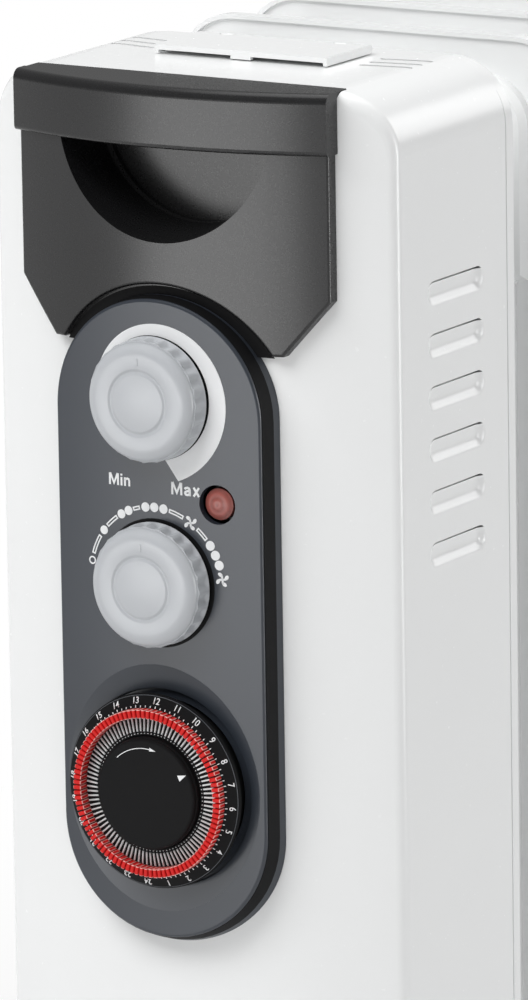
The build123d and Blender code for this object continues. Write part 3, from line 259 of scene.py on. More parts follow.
class RadiatorKnobSizes(bpy.types.PropertyGroup):
    """Moulded knobs."""

    face: length("Flat face", "Radius of the flat part of a knob's face", 14.0)
    neck: length("Neck", "Radius where the flank meets the shoulder", 18.6)
    shoulder: length("Shoulder", "Depth of the rounded shoulder", 3.0)
    groove: length("Groove radius", "Radius of the ring groove in the face", 9.5)
    groove_half: length("Groove half width", "Half the width of the ring groove", 1.0)
    groove_depth: length("Groove depth", "Depth of the ring groove", 0.4)
    flute: length("Flute depth", "Depth of a flute half way up the flank", 1.05)
    flute_rise: length("Flute rise", "Height over which a flute deepens from the back edge", 1.2)
    flute_fade: length("Flute fade", "Height over which a flute fades below the shoulder", 0.5)
    foot_width: length("Foot width", "Width of the chamfer round the back edge", 0.4)
    foot_height: length("Foot height", "Height of the chamfer round the back edge", 0.3)
    flange: length("Flange", "How far the plain back edge stands out beyond the flutes", 0.35)
    lip: length("Lip", "Width of the step where the fluted flank meets the shoulder", 0.5)
    tick: length("Tick height", "How far the setting tick stands on the face", 0.14)
    tick_width: length("Tick width", "Width of the setting tick", 0.8)
    tick_length: length("Tick length", "Length of the setting tick", 2.4)
    tick_radius: length("Tick radius", "Radius of the setting tick's middle", 12.6)
    socket: length("Socket radius", "Radius of the spindle's socket", 3.05)
    socket_depth: length("Socket depth", "Depth of the spindle's socket", 5.0)


class RadiatorDialSizes(bpy.types.PropertyGroup):
    """Day dial with its trippers."""

    rim: length("Rim radius", "Outer radius of the dial", 30.0)
    rim_line: length("Rim bevel", "Width of the bevel on the dial's rim", 0.4)
    # Painted highlight: the lip along the rim is slate grey on the black dial and stands in for the
    # rim's highlight
    rim_lip: length("Rim lip", "Width of the raised lip along the rim", 0.2)
    slope_inner: length("Slope inner radius", "Where the sloped number ring starts", 25.9)
    slope_rise: length("Slope rise", "How far the number ring rises towards the trippers", 1.7)
    rib_inner: length("Rib inner radius", "Inner end of the silver ribs", 18.7)
    rib_outer: length("Rib outer radius", "Outer end of the silver ribs", 23.0)
    rib_low: length("Rib ring height", "Height of the rib ring's outer edge over the rim", 0.8)
    rib_rise: length("Rib ring rise", "How far the rib ring rises towards the hub", 1.0)
    rib_ring_inner: length("Rib ring inner radius", "Inner edge of the rib ring", 17.6)
    rib_ring_outer: length("Rib ring outer radius", "Outer edge of the rib ring", 23.1)
    rib_width: length("Rib width", "Width of a rib", 0.5)
    rib_height: length("Rib height", "Height of a rib", 0.5)
    dot_radius: length("Dot ring radius", "Radius of the ring of dots", 18.1)
    tripper_inner: length("Tripper inner radius", "Inner end of a tripper", 23.2)
    tripper_outer: length("Tripper outer radius", "Outer end of a tripper", 25.8)
    tripper_width: length("Tripper width", "Width of a tripper", 1.16)
    tripper_edge: length("Tripper edge", "Bevel on a tripper's edges", 0.2)
    tick_inner: length("Tick inner radius", "Inner end of the quarter hour ticks", 25.98)
    tick_short: length("Short tick", "Length of a quarter hour tick", 0.6)
    tick_long: length("Long tick", "Length of an hour tick", 0.75)
    tick_width: length("Tick width", "Width of a tick", 0.24)
    number_radius: length("Number radius", "Radius of the middle of the hour numbers", 28.2)
    number_height: length("Number height", "Height of the hour numbers", 2.1)
    number_bold: length("Number bold", "How far the numbers' outlines are swelled", 0.02)
    number_width: factor("Number width", "Share that the numbers are narrowed to", 0.9)
    cap_radius: length("Cap radius", "Radius of the cap on the dial's hub", 17.0)
    cap_height: length("Cap height", "How far the cap stands over the hub", 1.4)
    arrow_radius: length("Arrow radius", "Radius of the arrow that shows the dial's turn", 14.2)
    arrow_line: length("Arrow line", "Line width of the arrow", 0.22)
    pointer_radius: length("Pointer radius", "Radius of the middle of the hub's time pointer", 14.4)


class RadiatorColours(bpy.types.PropertyGroup):
    """Colours of the finishes."""

    enamel: colour("Enamel", "White paint on fins, box and feet", "F3F4F4")
    handle: colour("Handle", "Charcoal of the handle", "1C1C1D")
    panel: colour("Panel", "Slate grey of the control panel", "32373F")
    knob: colour("Knob", "Pale grey of the knobs", "BABDC1")
    dial: colour("Dial", "Black of the day dial", "161617")
    tripper: colour("Tripper", "Red of the trippers", "D42220")
    # Painted highlight: the pale red on the trippers' end bevels stands in for their highlights
    tripper_edge: colour("Tripper edge", "Pale red of the trippers' edges", "F2B4AE")
    ink: colour("Ink", "White print", "F2F3F4")
    silver: colour("Silver", "Silver foil on the dial's ribs", "D9DBDC")
    lens: colour("Lens", "Red of the pilot lens", "9E5850")
    zinc: colour("Zinc", "Zinc plated steel", "B9BCC0")
    heater: colour("Heater", "Heat stained steel of the oil heater", "8F867C")
    inner: colour("Inner plastic", "Dark phenolic of switches and terminals", "2B2826")
    nylon: colour("Nylon", "Black nylon of castors and gland", "242527")
    floor: colour("Floor", "Studio floor", "FFFFFF")


# Sockets of a Mix node that is set to colours: its share, its two colours and its result
MIX, MIX_A, MIX_B, MIX_RESULT = 0, 6, 7, 2

# Sizes of patterns in mm: slow drift of a skin's colour, cloudy film on plating, rings in the lens
DRIFT_MM = 60.0
FILM_MM = 14.0
LENS_RING_MM = 2.17

# Scale that draws the streaks of a plated metal out from front to back
STREAK_SCALE = (1.0, 0.12, 1.0)

# Blender's wave texture repeats after this much of its scaled coordinate
WAVE_REPEAT = math.tau / 20

# Where the backdrop's fade to white starts and ends, in metres from the middle, and its fibre,
# drawn coarser than the real one so that it shows
FADE_START, FADE_END = 0.5, 1.5
FIBRE_MM = 2.0


def node(tree, kind, inputs=None, **settings):
    """Add a node, give it its settings and feed its inputs with values or other nodes' outputs."""
    made = tree.nodes.new(kind)
    for key, value in settings.items():
        setattr(made, key, value)
    for key, value in (inputs or {}).items():
        if isinstance(value, bpy.types.NodeSocket):
            tree.links.new(value, made.inputs[key])
        else:
            made.inputs[key].default_value = value
    return made


def opaque(rgb):
    """A colour with full alpha."""
    return (*rgb, 1.0)


def shade(rgb, share):
    """A colour made darker, or lighter with a share over one."""
    return tuple(min(1.0, c * share) for c in rgb)


def object_place(tree, centre=(0.0, 0.0, 0.0)):
    """Object coordinates, centred on a place."""
    coordinates = node(tree, "ShaderNodeTexCoord")
    mapped = node(
        tree, "ShaderNodeMapping",
        {"Vector": coordinates.outputs["Object"], "Location": tuple(-c for c in centre)},
    )
    return mapped.outputs["Vector"]


def per_metre(millimetres):
    """Scale of a pattern whose features are this large."""
    return 1 / (millimetres * MM)


def grained(tree, rgb, grain, cloud, tones, gloss, depth_mm):
    """Shader inputs: a grain makes the gloss and the relief, a cloud the tone of the colour."""
    dark, light = (opaque(shade(rgb, tone)) for tone in tones)
    base = node(
        tree, "ShaderNodeMix", {MIX: cloud, MIX_A: dark, MIX_B: light}, data_type="RGBA"
    )
    rough = node(
        tree, "ShaderNodeMapRange", {"Value": grain, "To Min": gloss[0], "To Max": gloss[1]}
    )
    bump = node(tree, "ShaderNodeBump", {"Height": grain, "Distance": depth_mm * MM})
    return {
        "Base Color": base.outputs[MIX_RESULT],
        "Roughness": rough.outputs["Result"],
        "Normal": bump.outputs["Normal"],
    }


def moulded(tree, rgb, roughness, grain_mm, depth_mm, drift, specular):
    """A moulded or painted skin: a fine grain in the gloss and a slow drift of colour."""
    place = object_place(tree)
    grain = node(
        tree, "ShaderNodeTexNoise", {"Vector": place, "Scale": per_metre(grain_mm), "Detail": 3.0}
    )
    drifting = node(
        tree, "ShaderNodeTexNoise", {"Vector": place, "Scale": per_metre(DRIFT_MM), "Detail": 2.0}
    )
    skin = grained(
        tree, rgb, grain.outputs["Fac"], drifting.outputs["Fac"], tones=(1 - drift, 1 + drift),
        gloss=(roughness * 0.88, roughness * 1.12), depth_mm=depth_mm,
    )
    return node(
        tree, "ShaderNodeBsdfPrincipled", {**skin, "Specular IOR Level": specular, "IOR": 1.5}
    )


def plated(tree, rgb, roughness, grain_mm, depth_mm):
    """A plated or drawn metal: bright, streaked along one axis, with a cloudy passivated film."""
    place = object_place(tree)
    along = node(tree, "ShaderNodeMapping", {"Vector": place, "Scale": STREAK_SCALE})
    streaks = node(
        tree, "ShaderNodeTexNoise",
        {"Vector": along.outputs["Vector"], "Scale": per_metre(grain_mm), "Detail": 4.0},
    )
    film = node(
        tree, "ShaderNodeTexNoise", {"Vector": place, "Scale": per_metre(FILM_MM), "Detail": 3.0}
    )
    skin = grained(
        tree, rgb, streaks.outputs["Fac"], film.outputs["Fac"], tones=(0.84, 1.08),
        gloss=(roughness * 0.75, roughness * 1.3), depth_mm=depth_mm,
    )
    return node(tree, "ShaderNodeBsdfPrincipled", {**skin, "Metallic": 1.0})


def ringed(tree, rgb, roughness, depth_mm):
    """A clear lens over pressed rings."""
    place = object_place(tree, middle("pilot_lens"))
    scale = WAVE_REPEAT * per_metre(LENS_RING_MM)
    rings = node(
        tree, "ShaderNodeTexWave", {"Vector": place, "Scale": scale},
        wave_type="RINGS", rings_direction="Y",
    ).outputs["Fac"]
    skin = grained(
        tree, rgb, rings, rings, tones=(0.86, 1.1), gloss=(roughness, roughness), depth_mm=depth_mm
    )
    clear = {
        "IOR": 1.49,
        "Coat Weight": 0.1,
        "Subsurface Weight": 0.25,
        "Subsurface Radius": (1.0, 0.3, 0.25),
        "Subsurface Scale": 1.5 * MM,
    }
    return node(tree, "ShaderNodeBsdfPrincipled", {**skin, **clear})


def rays_that_see(tree):
    """1 for rays from the camera, off a glossy skin or through a clear one, which see white."""
    path = node(tree, "ShaderNodeLightPath")
    seen = path.outputs["Is Camera Ray"]
    for ray in ("Is Glossy Ray", "Is Transmission Ray"):
        either = node(
            tree, "ShaderNodeMath", {0: seen, 1: path.outputs[ray]}, operation="MAXIMUM"
        )
        seen = either.outputs[0]
    return seen


def backdrop(tree, rgb):
    """Paper that takes the heater's shadow and runs out to plain white."""
    place = object_place(tree)
    away = node(tree, "ShaderNodeVectorMath", {0: place}, operation="LENGTH")
    fade = node(
        tree, "ShaderNodeMapRange",
        {"Value": away.outputs["Value"], "From Min": FADE_START, "From Max": FADE_END},
        interpolation_type="SMOOTHSTEP",
    )
    share = node(
        tree, "ShaderNodeMath",
        {0: rays_that_see(tree), 1: fade.outputs["Result"]}, operation="MULTIPLY",
    )
    fibre = node(
        tree, "ShaderNodeTexNoise", {"Vector": place, "Scale": per_metre(FIBRE_MM), "Detail": 3.0}
    )
    tone = node(
        tree, "ShaderNodeMix",
        {
            MIX: fibre.outputs["Fac"],
            MIX_A: opaque(shade(rgb, 0.93)),
            MIX_B: opaque(shade(rgb, 0.97)),
        },
        data_type="RGBA",
    )
    paper = node(tree, "ShaderNodeBsdfDiffuse", {"Color": tone.outputs[MIX_RESULT]})
    white = node(tree, "ShaderNodeEmission", {"Color": opaque(rgb), "Strength": 1.0})
    return node(
        tree, "ShaderNodeMixShader",
        {0: share.outputs[0], 1: paper.outputs[0], 2: white.outputs[0]},
    )


# Finishes by the material's name: function that draws it, colour, roughness, then for a moulded
# or plated one its grain and the grain's depth in mm, and for a moulded one drift and specular.
# A lens has its rings' depth in mm. Apart from the enamel's orange peel the real grains are too
# fine to show in the render, so they are drawn as coarse as they need to be to show
FINISHES = {
    # Stoved enamel on pressed steel: white, half glossy, the faint orange peel of a sprayed coat
    "stove_enamelled_steel": (moulded, "enamel", 0.26, 1.8, 0.004, 0.012, 0.5),
    # Injection moulded ABS, satin charcoal: the spark eroded mould leaves a fine even grain
    "moulded_charcoal_abs": (moulded, "handle", 0.28, 0.7, 0.0015, 0.04, 0.5),
    # Injection moulded ABS, slate grey and a little duller than the handle
    "moulded_slate_abs": (moulded, "panel", 0.32, 0.7, 0.0015, 0.04, 0.5),
    # Injection moulded ABS, pale grey from a polished mould: the shoulder takes a soft highlight
    "moulded_pale_grey_abs": (moulded, "knob", 0.3, 0.9, 0.003, 0.02, 0.5),
    # Injection moulded black ABS: matt, so that the print stands out
    "moulded_black_abs": (moulded, "dial", 0.6, 0.6, 0.005, 0.08, 0.1),
    # Moulded red acetal: slightly waxy, with clean bright colour
    "moulded_red_acetal": (moulded, "tripper", 0.45, 0.5, 0.003, 0.06, 0.15),
    # Painted highlight: the same acetal made pale on the trippers' end bevels, where the edges
    # catch light
    "thin_edge_of_red_acetal": (moulded, "tripper_edge", 0.4, 0.5, 0.002, 0.05, 0.3),
    # Screen printed white ink: matt, with the faint unevenness of a printed film
    "screen_printed_white_ink": (moulded, "ink", 0.55, 0.4, 0.002, 0.02, 0.5),
    # Hot stamped silver foil: bright, and slightly uneven on the narrow ribs
    "hot_stamped_silver_foil": (moulded, "silver", 0.3, 0.5, 0.003, 0.08, 0.8),
    # Moulded glass filled nylon: black with a dry, slightly streaked skin
    "moulded_black_nylon": (moulded, "nylon", 0.48, 1.2, 0.01, 0.1, 0.5),
    # Pressed phenolic of switch cases and terminals: dark brown, dull, with a floury fleck
    "pressed_phenolic": (moulded, "inner", 0.55, 0.8, 0.01, 0.15, 0.5),
    # Zinc plated steel: a cool bright grey with a cloudy film
    "zinc_plated_steel": (plated, "zinc", 0.32, 0.6, 0.01),
    # Stainless heater tube, straw coloured from its own heat
    "heat_stained_steel": (plated, "heater", 0.38, 0.6, 0.01),
    # Moulded red acrylic: clear skin over a ring pattern that spreads the lamp's light
    "moulded_red_acrylic": (ringed, "lens", 0.38, 0.12),
    # Seamless backdrop paper: a soft white with a faint fibre, which runs out to plain white
    "seamless_backdrop_paper": (backdrop, "floor"),
}


def finish(name):
    """The material of this name, made when it is first asked for."""
    material = bpy.data.materials.get(name)
    if material is None:
        material = bpy.data.materials.new(name)
        material.use_nodes = True
        tree = material.node_tree
        tree.nodes.clear()
        draw, colour_name, *settings = FINISHES[name]
        shader = draw(tree, getattr(bpy.context.scene.radiator_colours, colour_name), *settings)
        node(tree, "ShaderNodeOutputMaterial", {"Surface": shader.outputs[0]})
    return material


def middle(name):
    """The middle of a CAD node's box."""
    low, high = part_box(name)
    return (low + high) / 2


def dress(names, material):
    """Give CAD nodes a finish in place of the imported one."""
    for name in names:
        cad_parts[name].material_slots[0].material = finish(material)


def facing_front(place):
    """Turns a drawing (right, up, out) to a face that looks towards the front, at a place."""
    return Matrix.Translation(place) @ Matrix.Rotation(math.pi / 2, 4, "X")


def on_axis(axis_node, y):
    """Turns a drawing to the front, on a CAD node's axis and at this depth."""
    axis = middle(axis_node)
    return facing_front(Vector((axis.x, y, axis.z)))


def on_panel(axis_node):
    """Turns a drawing to the front where a CAD node's axis meets the panel's face."""
    return on_axis(axis_node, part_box("control_panel")[0].y)


def add_piece(name, bm, materials, body, place, crisp=None):
    """Close a drawn shape, put its place in its mesh and let it ride on a CAD body.

    With a crisp angle the faces are smooth, and only edges that turn by more degrees stay crisp.
    """
    bmesh.ops.transform(bm, matrix=place, verts=bm.verts)
    bmesh.ops.remove_doubles(bm, verts=bm.verts, dist=MERGE_DISTANCE)
    bmesh.ops.recalc_face_normals(bm, faces=bm.faces)
    mesh = bpy.data.meshes.new(name)
    if crisp:
        for face in bm.faces:
            face.smooth = True
    bm.to_mesh(mesh)
    bm.free()
    if crisp:
        mesh.set_sharp_from_angle(angle=math.radians(crisp))
    for material in materials:
        mesh.materials.append(finish(material))
    piece = bpy.data.objects.new(name, mesh)
    bpy.context.scene.collection.objects.link(piece)
    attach(piece, body)
    return piece


def polar(radius, degrees):
    """A point of a drawing from its radius and its angle."""
    turn = math.radians(degrees)
    return Vector((radius * math.cos(turn), radius * math.sin(turn), 0.0))


def turned(section, steps, closed=False):
    """A half section of radii and heights, turned once round the drawing's middle."""
    bm = bmesh.new()
    verts = [bm.verts.new((radius, 0.0, height)) for radius, height in section]
    ends = verts[1:] + verts[:1] if closed else verts[1:]
    edges = [bm.edges.new(pair) for pair in zip(verts, ends)]
    bmesh.ops.spin(
        bm, geom=verts + edges, cent=(0.0, 0.0, 0.0), axis=(0.0, 0.0, 1.0),
        angle=math.tau, steps=steps, use_merge=True,
    )
    return bm


def bevelled_block(size, on_top, offset, segments):
    """A block about the drawing's middle, bevelled along its top.

    With all as the test only the top's own edges are bevelled, with any the upright ones too.
    """
    bm = bmesh.new()
    bmesh.ops.create_cube(bm, size=1.0)
    bmesh.ops.scale(bm, vec=size, verts=bm.verts)
    edges = [edge for edge in bm.edges if on_top(vert.co.z > 0 for vert in edge.verts)]
    bmesh.ops.bevel(
        bm, geom=edges, offset=offset, affect="EDGES", segments=segments, profile=0.5, material=-1
    )
    return bm


def thicken(bm, thickness):
    """Makes flat drawings into thin closed solids that stand on the drawing's plane."""
    bmesh.ops.remove_doubles(bm, verts=bm.verts, dist=MERGE_DISTANCE)
    bmesh.ops.recalc_face_normals(bm, faces=bm.faces)
    for face in bm.faces:
        if face.normal.z < 0:
            face.normal_flip()
    bmesh.ops.solidify(bm, geom=bm.faces[:], thickness=-thickness)


def lay_on_bow(bm, radius):
    """Bends a flat drawing back onto a bowed face."""
    for vert in bm.verts:
        vert.co.z -= radius - math.sqrt(radius**2 - vert.co.x**2)


def add_strip(bm, width, height, columns):
    """Points of a flat strip, divided along its width so that it can be bent."""
    made = bmesh.ops.create_grid(bm, x_segments=columns, y_segments=1, size=0.5)
    bmesh.ops.scale(bm, vec=(width, height, 1.0), verts=made["verts"])
    return made["verts"]


def bend_round(verts, radius, degrees):
    """Wraps a strip round the drawing's middle: right becomes clockwise, up becomes outwards."""
    for vert in verts:
        turn = math.degrees(vert.co.x / radius)
        vert.co = polar(radius + vert.co.y, degrees - turn)


def lettering(words, height, bold, stretch):
    """Words as a flat mesh about their middle, with capitals of this height."""
    curve = bpy.data.curves.new("lettering", "FONT")
    curve.body = words
    curve.size = height / FONT_CAPITAL
    curve.offset = bold
    curve.fill_mode = "FRONT"
    holder = bpy.data.objects.new("lettering", curve)
    mesh = bpy.data.meshes.new_from_object(holder)
    bm = bmesh.new()
    bm.from_mesh(mesh)
    bpy.data.objects.remove(holder)
    bpy.data.curves.remove(curve)
    bpy.data.meshes.remove(mesh)
    bmesh.ops.remove_doubles(bm, verts=bm.verts, dist=MERGE_DISTANCE)
    left = min(vert.co.x for vert in bm.verts)
    right = max(vert.co.x for vert in bm.verts)
    bmesh.ops.translate(bm, vec=(-(left + right) / 2, -height / 2, 0.0), verts=bm.verts)
    bmesh.ops.scale(bm, vec=(stretch, 1.0, 1.0), verts=bm.verts)
    return bm


def join_drawing(bm, other):
    """Adds another drawing's faces to this one."""
    mesh = bpy.data.meshes.new("drawing")
    other.to_mesh(mesh)
    other.free()
    bm.from_mesh(mesh)
    bpy.data.meshes.remove(mesh)


class RADIATOR_OT_oil_fins(bpy.types.Operator):
    """Enamel the oil fins, the galleries that join them and their caps"""

    bl_idname = "radiator.oil_fins"
    bl_label = "Oil fins"

    def execute(self, context):
        fins = [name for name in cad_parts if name.startswith("fin_")]
        dress(fins, "stove_enamelled_steel")
        galleries = ("upper_gallery_rings", "lower_gallery_rings", "gallery_end_caps")
        dress(galleries, "stove_enamelled_steel")
        dress(("oil_filler_plug",), "zinc_plated_steel")
        return {"FINISHED"}


class RADIATOR_OT_control_box(bpy.types.Operator):
    """Enamel the control box and its flap, and press the louvres"""

    bl_idname = "radiator.control_box"
    bl_label = "Control box"

    def execute(self, context):
        dress(("box_cover", "top_flap"), "stove_enamelled_steel")
        dress(("flap_hinge_pin", "heat_shield"), "zinc_plated_steel")
        dress(("cord_gland",), "moulded_black_nylon")
        for side in LOUVRE_SIDES:
            self.make_louvres(context.scene.radiator_louvres, side)
        return {"FINISHED"}

    def make_louvres(self, sizes, side):
        """Smooth pressings in one side's louvres: a lit lower lip, and a dark slit above it."""
        low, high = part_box("box_cover")
        bm = bmesh.new()
        for row in range(LOUVRE_COUNT):
            self.press_louvre(bm, sizes, -row * sizes.pitch)
        thicken(bm, -SKIN)
        wall_x, turn = (high.x, math.pi / 2) if side == "right" else (low.x, -math.pi / 2)
        middle_top = Matrix.Translation((wall_x, high.y - sizes.rear, sizes.top))
        place = middle_top @ Matrix.Rotation(turn, 4, "Z") @ facing_front(Vector())
        add_piece(
            f"louvre_skins_{side}", bm, ["stove_enamelled_steel"], "heater",
            place, CRISP_ANGLE,
        )

    def press_louvre(self, bm, sizes, top):
        """One pressing, with round ends, hung from the height of its upper edge."""
        radius = sizes.height / 2
        spine = sizes.width / 2 - radius
        overlap, sink = 0.5 * SKIN, 0.2 * SKIN
        grid = bmesh.ops.create_grid(bm, x_segments=30, y_segments=18, size=0.5)
        for vert in grid["verts"]:
            rise = (vert.co.y + 0.5) * (sizes.height + overlap - sizes.slit) - overlap
            from_middle = rise - radius
            half = spine + overlap + math.sqrt(max(0.0, radius**2 - from_middle**2))
            along = half * math.sin(math.pi * vert.co.x)
            if from_middle > 0:
                inside = half - abs(along)
            else:
                inside = radius - math.hypot(max(0.0, abs(along) - spine), from_middle)
            share = min(1.0, max(0.0, (inside - sizes.lip) / sizes.slope))
            # Mostly a straight slope, with a little of a smooth step at its ends
            fall = 0.75 * share + 0.25 * (3 * share**2 - 2 * share**3)
            fall *= 1 - sizes.hollow * max(0.0, from_middle / radius)
            vert.co = Vector((along, top - sizes.height + rise, -sink - sizes.depth * fall))


class RADIATOR_OT_handle(bpy.types.Operator):
    """Finish the moulded carry handle"""

    bl_idname = "radiator.handle"
    bl_label = "Carry handle"

    def execute(self, context):
        dress(("carry_handle",), "moulded_charcoal_abs")
        return {"FINISHED"}


class RADIATOR_OT_panel(bpy.types.Operator):
    """Finish the control panel with painted shade on its wall and in the handle's arch, its dish
    and the pilot lens
    """

    bl_idname = "radiator.panel"
    bl_label = "Control panel"

    def execute(self, context):
        dress(("control_panel",), "moulded_slate_abs")
        self.make_frame(context.scene.radiator_print)
        self.make_seal(context.scene.radiator_print)
        self.make_dish(context.scene.radiator_print)
        dress(("pilot_lens",), "moulded_red_acrylic")
        return {"FINISHED"}

    def outline(self, share, half, spread):
        """A point on the panel's outline, from its right over the top and round.

        It is measured from the middle of the upper end, and the lower half is the upper one turned.
        """
        if share >= 0.5:
            return -self.outline(share - 0.5, half, spread) - Vector((0.0, spread, 0.0))
        if share < ROUND_END:
            return polar(half, 180 * share / ROUND_END)
        return Vector((-half, -spread * (share - ROUND_END) / (0.5 - ROUND_END), 0.0))

    def make_frame(self, sizes):
        """Painted shade: a black band on the panel's wall, where shade falls between the slate face
        and its foot.
        """
        low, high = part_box("control_panel")
        box_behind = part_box("box_cover")[0].y - low.y
        seated = box_behind / sizes.frame_depth
        flare = sizes.panel_foot - sizes.frame_face
        top_middle = high.z - seated * flare - sizes.frame_face
        spread = high.z - low.z - seated * (2 * flare + sizes.frame_slip) - 2 * sizes.frame_face
        outside, inside = sizes.frame_stand, -2 * sizes.frame_stand
        corners = (
            (0.0, outside), (sizes.frame_share, outside),
            (sizes.frame_share, inside), (0.0, inside),
        )
        bm = bmesh.new()
        bmesh.ops.create_grid(bm, x_segments=80, y_segments=len(corners), size=0.5)
        for vert in bm.verts:
            turn = vert.co.x + 0.5
            reach, stand = corners[round(len(corners) * (vert.co.y + 0.5)) % len(corners)]
            aside = self.outline(turn, sizes.panel_foot, spread).x
            start = sizes.frame_start + aside**2 / (2 * sizes.panel_bow)
            end = box_behind + aside**2 / (2 * sizes.box_bow)
            depth = start + reach * (end - start)
            share = depth / sizes.frame_depth
            half = sizes.frame_face + share * flare + stand
            vert.co = self.outline(turn, half, spread + share * sizes.frame_slip)
            vert.co.z = -depth
        place = facing_front(Vector(((low.x + high.x) / 2, low.y, top_middle)))
        add_piece(
            "panel_frame", bm, ["moulded_black_abs"], "heater", place, CRISP_ANGLE
        )

    def make_dish(self, sizes):
        """A shallow skin in the panel's dish, from its edge on the face to the dial's well."""
        rows = 8
        overlap, stand = SKIN, 0.3 * SKIN
        bm = bmesh.new()
        bmesh.ops.create_grid(bm, x_segments=144, y_segments=rows + 1, size=0.5)
        for vert in bm.verts:
            degrees = 360 * (vert.co.x + 0.5)
            # The edge comes inwards where the bowed face falls away to meet the dish's slope
            bend = math.cos(math.radians(degrees)) ** 2 / (2 * sizes.panel_bow * sizes.dish_slope)
            edge = 2 * sizes.dish_edge / (1 + math.sqrt(1 + 4 * bend * sizes.dish_edge))
            row = round((vert.co.y + 0.5) * (rows + 1))
            inwards = (edge - sizes.dish_well) * min(1.0, row / rows)
            hem = sizes.dish_hem if row > rows else 0.0
            vert.co = polar(edge + overlap - inwards, degrees)
            vert.co.z = stand - sizes.dish_skin_slope * inwards - hem
        thicken(bm, -2 * SKIN)
        lay_on_bow(bm, sizes.panel_bow)
        add_piece(
            "panel_dish_skin", bm, ["moulded_slate_abs"], "heater",
            on_panel("timer_ring"), CRISP_ANGLE,
        )

    def make_seal(self, sizes):
        """Painted shade: a black strip on the ledge between the handle's arch and the panel's foot,
        where shade falls.
        """
        low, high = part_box("control_panel")
        bm = bmesh.new()
        bmesh.ops.create_grid(bm, x_segments=64, y_segments=1, size=0.5)
        for vert in bm.verts:
            degrees = 90 - 2 * math.degrees(sizes.seal_reach) * vert.co.x
            foot = polar(sizes.seal_inner, degrees)
            arch = polar(sizes.seal_outer, degrees) - Vector((0.0, sizes.seal_drop, 0.0))
            vert.co = foot.lerp(arch, vert.co.y + 0.5)
        thicken(bm, SKIN)
        lay_on_bow(bm, sizes.seal_bow)
        ledge_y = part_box("box_cover")[0].y - sizes.seal_ledge
        place = facing_front(Vector(((low.x + high.x) / 2, ledge_y, high.z - sizes.panel_foot)))
        add_piece("arch_seal", bm, ["moulded_black_abs"], "heater", place)


class RADIATOR_OT_thermostat_scale(bpy.types.Operator):
    """Print the thermostat's widening band and its two words"""

    bl_idname = "radiator.thermostat_scale"
    bl_label = "Thermostat scale"

    def execute(self, context):
        sizes = context.scene.radiator_print
        bm = bmesh.new()
        bmesh.ops.create_grid(bm, x_segments=96, y_segments=1, size=0.5)
        for vert in bm.verts:
            along = vert.co.x + 0.5
            outer = sizes.band_thin + (sizes.band_thick - sizes.band_thin) * along
            up = vert.co.y + 0.5
            degrees = BAND_COOL + (BAND_HOT + BAND_SLANT * up - BAND_COOL) * along
            vert.co = polar(sizes.band_inner + (outer - sizes.band_inner) * up, degrees)
        for words, x, y, height in SCALE_WORDS:
            self.add_word(bm, words, Vector((x * MM, y * MM, 0.0)), sizes.word_height * height)
        thicken(bm, sizes.ink)
        lay_on_bow(bm, sizes.panel_bow)
        add_piece(
            "thermostat_scale", bm, ["screen_printed_white_ink"], "heater",
            on_panel("thermostat_knob"),
        )
        return {"FINISHED"}

    def add_word(self, bm, words, centre, height):
        """A word in bold strokes about its middle, from the table of letters."""
        wide = sum(LETTERS[letter][0] for letter in words) + LETTER_GAP * (len(words) - 1)
        left = -wide / 2
        for letter in words:
            for line in LETTERS[letter][1]:
                drawn = [Vector(((left + x) * LETTER_STRETCH, y - 0.5, 0.0)) for x, y in line]
                points = [point * height + centre for point in drawn]
                self.add_stroke(bm, points, LETTER_STROKE * height)
            left += LETTERS[letter][0] + LETTER_GAP

    def add_stroke(self, bm, points, width):
        """A flat line of this width through the points, with its corners mitred."""
        rails = []
        for index, point in enumerate(points):
            before = point - points[index - 1] if index else points[1] - point
            after = points[index + 1] - point if index + 1 < len(points) else before
            along = before.normalized() + after.normalized()
            side = Vector((-along.y, along.x, 0.0)).normalized()
            side *= width / 2 / max(0.5, side.dot(Vector((-after.y, after.x, 0.0)).normalized()))
            rails.append((bm.verts.new(point + side), bm.verts.new(point - side)))
        for first, second in zip(rails, rails[1:]):
            bm.faces.new((first[0], first[1], second[1], second[0]))


